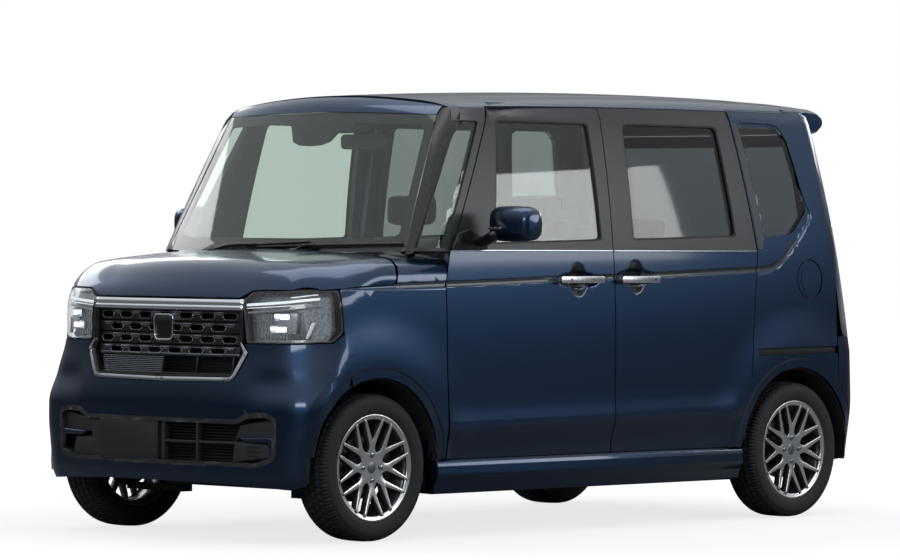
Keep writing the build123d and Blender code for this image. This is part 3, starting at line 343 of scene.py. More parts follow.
def inside(u: Field, v: Field, outline: Table) -> Field:
    """Tells which points lie inside a closed outline."""
    result = np.zeros(len(u), bool)
    for (au, av), (bu, bv) in zip(outline, list(outline[1:]) + [outline[0]]):
        if av == bv:
            continue
        crosses = (av > v) != (bv > v)
        result ^= crosses & (u < (bu - au) * (v - av) / (bv - av) + au)
    return result


def smooth(low: float, high: float, value: Field) -> Field:
    """Eased step from 0 at low to 1 at high."""
    t = np.clip((value - low) / (high - low), 0.0, 1.0)
    return t * t * (3 - 2 * t)


def through(points: Table) -> np.poly1d:
    """Polynomial through a few (input, output) points."""
    table = np.array(points)
    return np.poly1d(np.polyfit(table[:, 0], table[:, 1], len(points) - 1))


def round_max(a: Field, b: Field, radius: float | Field) -> Field:
    """Joins two outside distances with a rounded edge."""
    corner = np.hypot(np.maximum(a + radius, 0), np.maximum(b + radius, 0))
    return np.minimum(np.maximum(a, b), -radius) + corner


def line_distance(u: Field, v: Field, line: Table) -> Field:
    """Distance of points from an open run of segments."""
    best = np.full(len(u), 9.0)
    for (au, av), (bu, bv) in zip(line, line[1:]):
        du, dv = bu - au, bv - av
        t = np.clip(((u - au) * du + (v - av) * dv) / (du * du + dv * dv), 0.0, 1.0)
        best = np.minimum(best, np.hypot(u - au - t * du, v - av - t * dv))
    return best


# ---------------------------------------------------------------- the body's skin
# Belt groove from the bonnet's corner back and round the quarter window, and the crease over the sill, as (x, z).
GROOVE = [(1.42, 0.962), (1.209, 0.969), (0.62, 0.984), (0.222, 0.996), (-0.397, 1.011), (-1.0, 1.032),
          (-1.132, 1.040), (-1.20, 1.077), (-1.285, 1.152), (-1.371, 1.234), (-1.383, 1.26), (-1.352, 1.32),
          (-1.254, 1.598), (-1.235, 1.615), (-1.195, 1.625), (-1.0, 1.628)]
CREASE = [(0.90, 0.414), (0.09, 0.433), (-0.92, 0.449)]
# Handle pockets as (x, z, half length).
POCKETS = ((0.0925, 0.992, 0.128), (-0.2565, 1.003, 0.118))


class Skin:
    """Outer shape of the body as rounded joints of a few large surfaces."""

    side_low = staticmethod(through([(0.240, 0.7195), (0.620, 0.7372), (1.110, 0.7217)]))
    side_high = staticmethod(through([(1.110, 0.7217), (1.400, 0.6867), (1.680, 0.6357)]))

    @classmethod
    def side(cls, p: Field) -> Field:
        """How far points stand outside the flank."""
        x, z = p[:, 0], p[:, 2]
        width = np.where(z < BELT, cls.side_low(np.maximum(z, 0.24)), cls.side_high(z)) - 0.001
        return np.abs(p[:, 1]) - (width - np.maximum(0.24 - z, 0) * 0.27 + cls.relief(x, z))

    @staticmethod
    def relief(x: Field, z: Field) -> Field:
        """Creases, arch flares, belt groove and handle pockets of the flank."""
        value = np.zeros(len(x))
        for axle in (FRONT_AXLE, REAR_AXLE):
            r = np.hypot(x - axle, z - WHEEL_Z)
            swell = 0.011 * (1 - smooth(0.385, 0.60, r)) * smooth(0.20, 0.45, z)
            lip = 0.004 * (1 - smooth(0.376, 0.382, r))
            value += np.where(r < 0.60, swell - lip, 0.0)
        away = np.minimum(np.hypot(x - FRONT_AXLE, z - WHEEL_Z), np.hypot(x - REAR_AXLE, z - WHEEL_Z))
        crease_z = np.interp(x, *zip(*reversed(CREASE)))
        value -= 0.012 * (1 - smooth(-0.09, 0.003, z - crease_z)) * smooth(0.36, 0.44, away) * (z < crease_z + 0.02)
        value += 0.0085 * np.exp(-((z - crease_z - 0.004) / 0.055) ** 2) * smooth(0.36, 0.50, away)
        near = (x < 1.44) & (x > -1.45) & (z > 0.93)
        groove = np.zeros(len(x))
        groove[near] = 1 - smooth(0.008, 0.012, line_distance(x[near], z[near], GROOVE))
        value -= 0.0045 * groove
        for cx, cz, half in POCKETS:
            flat = np.hypot((x - cx) / half, (z - cz) / 0.032)
            cup = np.hypot((x - cx) / 0.052, (z - cz) / 0.068)
            value -= 0.014 * (1 - smooth(0.86, 1.0, flat)) + 0.016 * (1 - smooth(0.55, 1.0, cup))
        return value

    @staticmethod
    def nose(p: Field) -> Field:
        """How far points stand outside the front face."""
        x, y, z = p[:, 0], np.abs(p[:, 1]), p[:, 2]
        low = 1.6965 - 0.1152 * y ** 2 - 0.0247 * y ** 4
        high = 1.6715 - 0.135 * y ** 2 - 0.13 * y ** 4
        face = low + (high - low) * smooth(0.50, 0.78, z)
        sunk = 0.010 * np.exp(-((z - 0.60) / 0.05) ** 2) * smooth(0.42, 0.56, y)
        under = np.maximum(0.25 - z, 0) ** 2 * 6.0
        return x - face + sunk + under

    @staticmethod
    def bonnet(p: Field) -> Field:
        """How far points stand over the bonnet."""
        x, y, z = np.maximum(p[:, 0], 0.8), np.abs(p[:, 1]), p[:, 2]
        rise = 0.004 * smooth(0.34, 0.46, y)
        line = 1.1195 - 0.075 * (x - 0.8) ** 2 - 0.034 * (x - 0.8) ** 4
        return z - (line - 0.085 * y ** 2 + rise - 0.002)

    @staticmethod
    def roof(p: Field) -> Field:
        """How far points stand over the roof."""
        x, y, z = p[:, 0], np.abs(p[:, 1]), p[:, 2]
        rib = 0.004 * (np.exp(-((y - 0.40) / 0.02) ** 2) + np.exp(-((y - 0.16) / 0.02) ** 2))
        rib = rib * smooth(-1.2, -1.0, x) * (1 - smooth(0.25, 0.45, x))
        return z - (1.7590 - 0.0185185 * (x + 0.8) ** 2 - 0.1265 * y ** 2) + rib

    @staticmethod
    def screen(p: Field) -> Field:
        """How far points stand in front of the screen."""
        x, y, z = p[:, 0], np.abs(p[:, 1]), p[:, 2]
        return (x - (1.103 - 0.18 * y ** 2 - 0.05 * y ** 4) + 0.534 * (z - 1.097)) / 1.1336

    @staticmethod
    def tail(p: Field) -> Field:
        """How far points stand behind the tail."""
        x, y, z = p[:, 0], np.abs(p[:, 1]), p[:, 2]
        return -x - (1.6895 - 0.0222 * y ** 2 - 0.18 * np.maximum(z - 0.69, 0))

    @classmethod
    def cabin(cls, p: Field) -> Field:
        """The tall rear body: flanks, roof, screen and tail."""
        shape = round_max(cls.side(p), cls.screen(p), 0.055)
        shape = round_max(shape, cls.tail(p), 0.085)
        return round_max(shape, cls.roof(p), 0.048)

    @classmethod
    def front(cls, p: Field) -> Field:
        """The short front body: wings, nose and bonnet."""
        shape = round_max(cls.side(p), cls.nose(p), 0.10 + 0.07 * smooth(0.50, 0.78, p[:, 2]))
        return round_max(shape, cls.bonnet(p), 0.06 + 0.10 * smooth(1.2, 1.5, p[:, 0]))


@dataclass(frozen=True)
class Wrap:
    """A way to lay a flat sheet round the body: a core with straight faces and fanned corners."""

    rays: Rays
    flat: Flat
    shape: Callable[[Field], Field]

    def drape(self, uv: Field, inset: float = 0.0, reach: float = 0.9) -> Field:
        """Finds where the sheet's points meet the skin.

        Args:
            uv: sheet coordinates, one point per row.
            inset: how far inside the skin the sheet lies.
            reach: longest search along a ray.

        Returns:
            Points in space.
        """
        origin, heading = self.rays(uv[:, 0], uv[:, 1])
        heading = heading / np.linalg.norm(heading, axis=1)[:, None]
        low, high = np.zeros(len(uv)), np.full(len(uv), reach)
        for _ in range(26):
            mid = (low + high) / 2
            out = self.shape(origin + heading * mid[:, None]) > -inset
            high, low = np.where(out, mid, high), np.where(out, low, mid)
        return origin + heading * low[:, None]

    def trace(self, points: Table) -> list[tuple[float, ...]]:
        """Turns points in space, each with a corner radius if wanted, into sheet coordinates."""
        return [(*self.flat(*point[:3]), *point[3:]) for point in points]


def columns(*parts: Field) -> Field:
    """Puts equally long columns side by side."""
    return np.stack(np.broadcast_arrays(*parts), axis=1)


def fan_rays(cx: Callable[[Field], Field], cy: float, radius: float, sign: float) -> Rays:
    """Rays of a sheet that wraps from the nose or tail round to the flank.

    Args:
        cx: place of the corner's centre along the car at each height.
        cy: place of the corner's centre across the car.
        radius: radius by which the corner's angle becomes sheet length.
        sign: 1 for the nose, -1 for the tail.

    Returns:
        Function from sheet coordinates to ray starts and headings.
    """
    def rays(u: Field, v: Field) -> tuple[Field, Field]:
        """Ray starts and headings at (u, v)."""
        turn = np.clip((np.abs(u) - cy) / radius, 0.0, math.pi / 2)
        along = np.maximum(np.abs(u) - cy - radius * math.pi / 2, 0.0)
        origin = columns(cx(v) - sign * along, np.minimum(np.abs(u), cy) * np.sign(u), v)
        return origin, columns(sign * np.cos(turn), np.sin(turn) * np.sign(u), 0.0 * v)
    return rays


def fan_flat(cx: Callable[[Field], Field], cy: float, radius: float, sign: float) -> Flat:
    """The way back from space to the sheet of fan_rays; takes the same values."""
    def flat(x: float, y: float, z: float) -> tuple[float, float]:
        """Sheet coordinates of a point near the skin."""
        ahead, side = sign * (x - float(cx(z))), math.copysign(1.0, y)
        if ahead <= 0:
            return side * (cy + radius * math.pi / 2 - ahead), z
        if abs(y) <= cy:
            return y, z
        return side * (cy + radius * math.atan2(abs(y) - cy, ahead)), z
    return flat


def dome_rays(x0: float, y0: float, z0: float, radius: float) -> Rays:
    """Rays of a sheet that wraps from the top over the sides and, past x0, over the front."""
    def rays(u: Field, v: Field) -> tuple[Field, Field]:
        """Ray starts and headings at (u, v)."""
        ahead = np.maximum(u - x0, 0.0) / radius
        aside = np.maximum(np.abs(v) - y0, 0.0) / radius
        origin = columns(np.minimum(u, x0), np.clip(v, -y0, y0), z0 + 0.0 * u)
        return origin, columns(np.tan(np.minimum(ahead, 1.54)), np.tan(np.minimum(aside, 1.54)) * np.sign(v), 1.0)
    return rays


def dome_flat(x0: float, y0: float, z0: float, radius: float) -> Flat:
    """The way back from space to the sheet of dome_rays; takes the same values."""
    def flat(x: float, y: float, z: float) -> tuple[float, float]:
        """Sheet coordinates of a point near the skin."""
        u = x if x <= x0 else x0 + radius * math.atan2(x - x0, z - z0)
        v = y if abs(y) <= y0 else math.copysign(y0 + radius * math.atan2(abs(y) - y0, z - z0), y)
        return u, v
    return flat


def nose_centre(z: Field) -> Field:
    """Corner centre of the nose wrap."""
    return 1.50 + 0.0 * z


def tail_centre(z: Field) -> Field:
    """Corner centre of the tail wrap, moving forward with the leaning gate."""
    return -1.59 + 0.18 * np.maximum(z - 0.69, 0)


def screen_centre(z: Field) -> Field:
    """Corner centre of the screen wrap, moving back with the raked glass."""
    return 0.88 - 0.534 * (z - 1.097)


def side_rays(u: Field, v: Field) -> tuple[Field, Field]:
    """Rays of a sheet that lies flat against the flank."""
    return columns(u, 0.3, v), columns(0.0 * u, 1.0, 0.0)


def side_flat(x: float, y: float, z: float) -> tuple[float, float]:
    """The way back from space to the sheet of side_rays."""
    return x, z


def fan_wrap(cx: Callable[[Field], Field], cy: float, radius: float, sign: float,
             shape: Callable[[Field], Field]) -> Wrap:
    """Sheet that wraps round a corner; takes what fan_rays takes, and the body's shape."""
    return Wrap(fan_rays(cx, cy, radius, sign), fan_flat(cx, cy, radius, sign), shape)


FLANK = Wrap(side_rays, side_flat, Skin.cabin)
WING = Wrap(side_rays, side_flat, Skin.front)
NOSE = fan_wrap(nose_centre, 0.58, 0.15, 1.0, Skin.front)
TAIL = fan_wrap(tail_centre, 0.60, 0.11, -1.0, Skin.cabin)
SCREEN = fan_wrap(screen_centre, 0.52, 0.14, 1.0, Skin.cabin)
BONNET = Wrap(dome_rays(1.47, 0.56, 0.88, 0.16), dome_flat(1.47, 0.56, 0.88, 0.16), Skin.front)
# The roof's sheet never turns over the front, so its corner there lies far ahead.
ROOF = Wrap(dome_rays(9.0, 0.54, 1.60, 0.11), dome_flat(9.0, 0.54, 1.60, 0.11), Skin.cabin)


# ---------------------------------------------------------------- meshes
SHARP = 0.9  # an edge that turns by more radians than this is rounded


def bevel(bm: bmesh.types.BMesh, edges: Iterable[bmesh.types.BMEdge], width: float, segments: int = 2) -> None:
    """Rounds edges of a mesh."""
    if width > 0.0:
        bmesh.ops.bevel(bm, geom=list(edges), offset=width, segments=segments, profile=0.5, affect="EDGES",
                        material=-1, clamp_overlap=True)


def thicken(bm: bmesh.types.BMesh, shift: Sequence[float], edge: float = 0.0) -> bmesh.types.BMesh:
    """Pulls an open surface into a closed solid.

    Args:
        bm: the surface.
        shift: how far its far side is moved.
        edge: bevel of its sharp edges.

    Returns:
        The same mesh.
    """
    pulled = bmesh.ops.extrude_face_region(bm, geom=bm.faces[:])["geom"]
    bmesh.ops.translate(bm, vec=shift, verts=[v for v in pulled if isinstance(v, bmesh.types.BMVert)])
    bmesh.ops.recalc_face_normals(bm, faces=bm.faces[:])
    bevel(bm, [e for e in bm.edges if len(e.link_faces) == 2 and e.calc_face_angle(0.0) > SHARP], edge)
    return bm


class Form:
    """A mesh that collects closed shapes before it becomes a piece."""

    def __init__(self) -> None:
        """Starts empty."""
        self.bm = bmesh.new()

    def joined(self, part: bmesh.types.BMesh) -> Form:
        """Adds a mesh as it is; the mesh is used up."""
        mesh = bpy.data.meshes.new("taken")
        part.to_mesh(mesh)
        part.free()
        self.bm.from_mesh(mesh)
        bpy.data.meshes.remove(mesh)
        return self

    def take(self, part: bmesh.types.BMesh, material: int = 0, outward: bool = True) -> Form:
        """Adds a finished shape.

        Args:
            part: the shape, which is used up.
            material: material slot of its faces.
            outward: recalculates its normals first.

        Returns:
            This form.
        """
        if outward:
            bmesh.ops.recalc_face_normals(part, faces=part.faces[:])
        for face in part.faces:
            face.material_index = material
            face.smooth = True
        return self.joined(part)

    def block(self, low: Sequence[float], high: Sequence[float], edge: float = 0.003, material: int = 0,
              segments: int = 2) -> Form:
        """Adds a block with rounded edges.

        Args:
            low: lowest corner.
            high: highest corner.
            edge: bevel width.
            material: material slot.
            segments: steps in the bevel.

        Returns:
            This form.
        """
        part = bmesh.new()
        bmesh.ops.create_cube(part, size=1.0)
        for vert in part.verts:
            vert.co = [(a + b) / 2 + c * (b - a) for a, b, c in zip(low, high, vert.co)]
        bevel(part, part.edges, edge, segments)
        return self.take(part, material)

    def prism(self, outline: Table, axis: str, start: float, end: float, edge: float = 0.0,
              material: int = 0) -> Form:
        """Adds an outline pulled straight along an axis.

        Args:
            outline: corners in the plane across the axis, in the order of the other two axes.
            axis: "x", "y" or "z".
            start: where the outline stands along the axis.
            end: where it is pulled to.
            edge: bevel width on every edge.
            material: material slot.

        Returns:
            This form.
        """
        along = "xyz".index(axis)
        part = bmesh.new()
        part.faces.new([part.verts.new([*point[:along], start, *point[along:2]]) for point in outline])
        thicken(part, [end - start if k == along else 0.0 for k in range(3)])
        bevel(part, part.edges, edge)
        return self.take(part, material)

    def turned(self, profile: Table, centre: Sequence[float] = (0, 0, 0), axis: Sequence[float] = (0, 1, 0),
               steps: int = 64, material: int = 0, closed: bool = True) -> Form:
        """Adds a profile spun about an axis through a centre.

        Args:
            profile: (radius, distance along the axis) points.
            centre: point on the axis.
            axis: direction of the axis.
            steps: pieces in the turn.
            material: material slot.
            closed: joins the last point to the first.

        Returns:
            This form.
        """
        heading = Vector(axis).normalized()
        across = heading.orthogonal().normalized()
        part = bmesh.new()
        verts = [part.verts.new(Vector(centre) + across * r + heading * d) for r, d in profile]
        edges = [part.edges.new(pair) for pair in zip(verts, verts[1:])]
        if closed:
            edges.append(part.edges.new((verts[-1], verts[0])))
        bmesh.ops.spin(part, geom=verts + edges, cent=centre, axis=heading, angle=math.tau, steps=steps,
                       use_merge=True)
        bmesh.ops.remove_doubles(part, verts=part.verts[:], dist=1e-5)
        bmesh.ops.dissolve_degenerate(part, edges=part.edges[:], dist=1e-6)
        return self.take(part, material)

    def tube(self, path: Table, radius: float, sides: int = 12, material: int = 0) -> Form:
        """Adds a round bar along a run of points.

        Args:
            path: points of the bar's centre line.
            radius: its radius.
            sides: pieces round it.
            material: material slot.

        Returns:
            This form.
        """
        curve = bpy.data.curves.new("bar", "CURVE")
        curve.dimensions = "3D"
        spline = curve.splines.new("NURBS")
        spline.points.add(len(path) - 1)
        for point, place in zip(spline.points, path):
            point.co = (*place, 1.0)
        spline.order_u = min(3, len(path))
        spline.use_endpoint_u = True
        spline.resolution_u = 8
        curve.bevel_depth = radius
        curve.bevel_resolution = max(0, sides // 4 - 1)
        curve.use_fill_caps = True
        holder = bpy.data.objects.new("bar", curve)
        mesh = bpy.data.meshes.new_from_object(holder)
        part = bmesh.new()
        part.from_mesh(mesh)
        bmesh.ops.remove_doubles(part, verts=part.verts[:], dist=1e-6)
        bpy.data.objects.remove(holder)
        bpy.data.curves.remove(curve)
        bpy.data.meshes.remove(mesh)
        return self.take(part, material)

    def loft(self, sections: Sequence[Table], material: int = 0) -> Form:
        """Adds a skin through closed sections of equal count, with both ends closed.

        Args:
            sections: each section's points in space.
            material: material slot.

        Returns:
            This form.
        """
        part = bmesh.new()
        rings = [[part.verts.new(point) for point in section] for section in sections]
        for ring, following in zip(rings, rings[1:]):
            for i in range(len(ring)):
                j = (i + 1) % len(ring)
                part.faces.new((ring[i], ring[j], following[j], following[i]))
        for ring in (rings[0], rings[-1]):
            middle = part.verts.new(sum((v.co for v in ring), Vector()) / len(ring))
            for i in range(len(ring)):
                part.faces.new((ring[i], ring[(i + 1) % len(ring)], middle))
        return self.take(part, material)

    def turn(self, centre: Sequence[float], axis: str, degrees: float) -> Form:
        """Turns everything so far about an axis through a centre."""
        matrix = Matrix.Rotation(math.radians(degrees), 3, axis.upper())
        bmesh.ops.rotate(self.bm, cent=centre, matrix=matrix, verts=self.bm.verts[:])
        return self

    def flipped(self) -> Form:
        """Moves everything to the other side of the car."""
        bmesh.ops.scale(self.bm, vec=(1, -1, 1), verts=self.bm.verts[:])
        bmesh.ops.reverse_faces(self.bm, faces=self.bm.faces[:])
        return self


def cut_along(bm: bmesh.types.BMesh, line: Table, closed: bool) -> None:
    """Cuts a flat mesh along the segments of a line.

    Args:
        bm: mesh in the plane z = 0.
        line: points of the line.
        closed: joins the last point to the first.
    """
    margin = Vector((0.002, 0.002))
    points = [Vector((p[0], p[1], 0.0)) for p in line]
    for start, end in zip(points, points[1:] + points[:1] if closed else points[1:]):
        if (end - start).length < 1e-6:
            continue
        low = Vector((min(start.x, end.x), min(start.y, end.y))) - margin
        high = Vector((max(start.x, end.x), max(start.y, end.y))) + margin
        normal = Vector((end.y - start.y, start.x - end.x, 0.0)).normalized()
        geometry = set()
        for face in bm.faces:
            us, vs = zip(*(vert.co[:2] for vert in face.verts))
            if max(us) >= low.x and min(us) <= high.x and max(vs) >= low.y and min(vs) <= high.y:
                geometry.update([face], face.edges, face.verts)
        bmesh.ops.bisect_plane(bm, geom=list(geometry), dist=2e-5, plane_co=start, plane_no=normal)


@dataclass
class Sheet:
    """A body panel: an outline cut from a flat grid and laid on the skin."""

    wrap: Wrap
    outline: Table
    holes: Sequence[Table] = ()
    lines: Sequence[Table] = ()
    step: tuple[float, float] = (0.03, 0.03)
    fine: Sequence[tuple[float, float, float, float, float]] = ()
    inset: float = 0.0

    def flat(self) -> bmesh.types.BMesh:
        """Cuts the panel in the plane.

        Returns:
            Mesh in sheet coordinates.
        """
        outline = rounded(self.outline)
        us, vs = zip(*outline)
        low, high = (min(us), min(vs)), (max(us), max(vs))
        bm = bmesh.new()
        corners = (low, (high[0], low[1]), high, (low[0], high[1]))
        bm.faces.new([bm.verts.new((u, v, 0.0)) for u, v in corners])
        for axis in (0, 1):
            for place in self.stations(axis, low[axis], high[axis]):
                normal = Vector([float(k == axis) for k in range(3)])
                bmesh.ops.bisect_plane(bm, geom=bm.verts[:] + bm.edges[:] + bm.faces[:], dist=1e-5,
                                       plane_co=normal * place, plane_no=normal)
        holes = [rounded(hole) for hole in self.holes]
        for line in self.lines:
            cut_along(bm, line, False)
        for line in [outline] + holes:
            cut_along(bm, line, True)
        centres = np.array([face.calc_center_median()[:2] for face in bm.faces])
        keep = inside(centres[:, 0], centres[:, 1], outline)
        for hole in holes:
            keep &= ~inside(centres[:, 0], centres[:, 1], hole)
        dropped = [face for face, kept in zip(bm.faces[:], keep) if not kept]
        bmesh.ops.delete(bm, geom=dropped, context="FACES")
        bmesh.ops.remove_doubles(bm, verts=bm.verts[:], dist=3e-4)
        bmesh.ops.dissolve_degenerate(bm, edges=bm.edges[:], dist=1e-5)
        return bm

    def stations(self, axis: int, low: float, high: float) -> list[float]:
        """Places of the grid cuts along one axis."""
        count = max(1, round((high - low) / self.step[axis]))
        places = [low + (high - low) * k / count for k in range(1, count)]
        for u0, u1, v0, v1, size in self.fine:
            start, end = ((u0, u1), (v0, v1))[axis]
            number = max(1, round((end - start) / size))
            extra = [start + (end - start) * k / number for k in range(number + 1)]
            places = [p for p in places if p < start - size / 2 or p > end + size / 2]
            places += [p for p in extra if low + 1e-3 < p < high - 1e-3]
        return sorted(places)

    def mesh(self) -> bmesh.types.BMesh:
        """Lays the panel on the skin with its faces outwards.

        Returns:
            Open surface in space.
        """
        bm = self.flat()
        uv = np.array([vert.co[:2] for vert in bm.verts])
        places = self.wrap.drape(uv, self.inset)
        for vert, place in zip(bm.verts, places):
            vert.co = place
        bmesh.ops.recalc_face_normals(bm, faces=bm.faces[:])
        middle = sum((f.normal * f.calc_area() for f in bm.faces), Vector())
        centre = sum((v.co for v in bm.verts), Vector()) / len(bm.verts)
        if middle.dot(centre - Vector((min(max(centre.x, -0.9), 0.9), 0.0, 0.9))) < 0:
            bmesh.ops.reverse_faces(bm, faces=bm.faces[:])
        return bm

    def form(self) -> Form:
        """The open surface as a form of its own."""
        return Form().take(self.mesh(), outward=False)

    def slab(self, form: Form, depth: float, edge: float, material: int = 0) -> None:
        """Adds the panel to a form as a closed solid pulled straight back.

        Args:
            form: form that gets it.
            depth: how thick it is.
            edge: bevel of its sharp edges.
            material: material slot.
        """
        form.take(thicken(self.mesh(), (-depth, 0.0, 0.0), edge), material)


class Side(Enum):
    """The two sides of the car, by the sign of y."""

    LEFT = 1
    RIGHT = -1

    @property
    def hand(self) -> str:
        """Plain name of the side."""
        return self.name.lower()


@dataclass(frozen=True)
class Dress:
    """How a form becomes a piece: slot, body, the nodes it stands for, wall and edge; the slot is not used."""

    slot: str
    body: str = "body"
    replaces: tuple[str, ...] = ()
    wall: float = 0.0
    edge: float = 0.0

    def piece(self, name: str, form: Form, *finishes: Finish) -> bpy.types.Object:
        """Makes the object, gives it its modifiers and finishes and lets it ride.

        Args:
            name: plain name of the piece.
            form: its mesh, which is used up.
            *finishes: finish of each material slot; a walled piece has the second one inside.

        Returns:
            The piece.
        """
        mesh = bpy.data.meshes.new(name)
        form.bm.to_mesh(mesh)
        form.bm.free()
        piece = bpy.data.objects.new(name, mesh)
        bpy.context.scene.collection.objects.link(piece)
        for finish in finishes:
            mesh.materials.append(finish.material())
        if self.wall:
            shell = piece.modifiers.new("wall", "SOLIDIFY")
            shell.thickness = self.wall
            shell.offset = -1.0
            shell.use_even_offset = False
            shell.material_offset = 1 if len(finishes) > 1 else 0
        if self.edge:
            rounding = piece.modifiers.new("edges", "BEVEL")
            rounding.width = self.edge
            rounding.segments = 2
            rounding.limit_method = "ANGLE"
            rounding.angle_limit = math.radians(50)
            rounding.use_clamp_overlap = True
        if self.wall or self.edge:
            normals = piece.modifiers.new("shading", "WEIGHTED_NORMAL")
            normals.keep_sharp = False
            normals.weight = 70
        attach(piece, self.body)
        if self.replaces:
            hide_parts(*self.replaces)
        LOG.info("%s: %d faces", name, len(mesh.polygons))
        return piece

    def sided(self, side: Side, name: str, form: Form, *finishes: Finish) -> bpy.types.Object:
        """Makes one side's piece from a form built for the left.

        Args:
            side: side of the car.
            name: plain name without the side.
            form: its mesh on the left, which is used up.
            *finishes: finish of each material slot.

        Returns:
            The piece.
        """
        return self.piece(f"{name}_{side.hand}", form if side is Side.LEFT else form.flipped(), *finishes)


def box(u0: float, u1: float, v0: float, v1: float, radius: float = 0.0) -> list[tuple[float, float, float]]:
    """Corners of an upright rectangle, each with the same radius."""
    return [(u0, v0, radius), (u1, v0, radius), (u1, v1, radius), (u0, v1, radius)]


def grown(outline: Table, by: float) -> list[tuple[float, ...]]:
    """Closed outline moved outwards all round, its corner radii kept."""
    following = [*outline[1:], outline[0]]
    area = sum(a[0] * b[1] - b[0] * a[1] for a, b in zip(outline, following))
    turn = 1.0 if area > 0 else -1.0
    moved = []
    for i, point in enumerate(outline):
        here = Vector(point[:2])
        before = (here - Vector(outline[i - 1][:2])).normalized()
        after = (Vector(following[i][:2]) - here).normalized()
        a, b = Vector((before.y, -before.x)) * turn, Vector((after.y, -after.x)) * turn
        shift = (a + b) / max(1.0 + a.dot(b), 0.3) * by
        moved.append((here.x + shift.x, here.y + shift.y, *point[2:]))
    return moved


def mirrored_points(points: Table, across: int = 0) -> list[tuple[float, ...]]:
    """Closed outline from its left half, which runs from centre line to centre line.

    Args:
        points: the left half.
        across: which coordinate lies across the car.

    Returns:
        Both halves.
    """
    other = [p for p in reversed(points) if abs(p[across]) > 1e-4]
    return list(points) + [tuple(-c if k == across else c for k, c in enumerate(p)) for p in other]


def offset_line(line: Table, shift: float) -> list[tuple[float, float]]:
    """Open line moved sideways in its plane."""
    points = [Vector(p[:2]) for p in line]
    moved = []
    for i, point in enumerate(points):
        heading = (points[min(i + 1, len(points) - 1)] - points[max(i - 1, 0)]).normalized()
        moved.append((point.x - heading.y * shift, point.y + heading.x * shift))
    return moved


def wheel_arc(axle: float, radius: float, start: float, end: float) -> list[tuple[float, float]]:
    """Arc round a wheel in side view, angles in degrees from the front, turning up and back."""
    return arc(axle, WHEEL_Z, radius, start, end, 28)


def style_lines(axle: float) -> list[list[tuple[float, float]]]:
    """Cut lines that carry an arch's lip, the belt groove and the lower crease."""
    flare = [wheel_arc(axle, r, -10, 190) for r in (0.350, 0.3755, 0.3785, 0.382, 0.392, 0.41, 0.43, 0.46)]
    groove = [offset_line(GROOVE, shift) for shift in (-0.012, -0.008, 0.008, 0.012)]
    return flare + groove + [[(x, z + shift) for x, z in CREASE] for shift in (-0.03, -0.012, 0.003, 0.012, 0.028)]


# ---------------------------------------------------------------- painted body
PANEL_WALL = 0.030
PANE = 0.0032


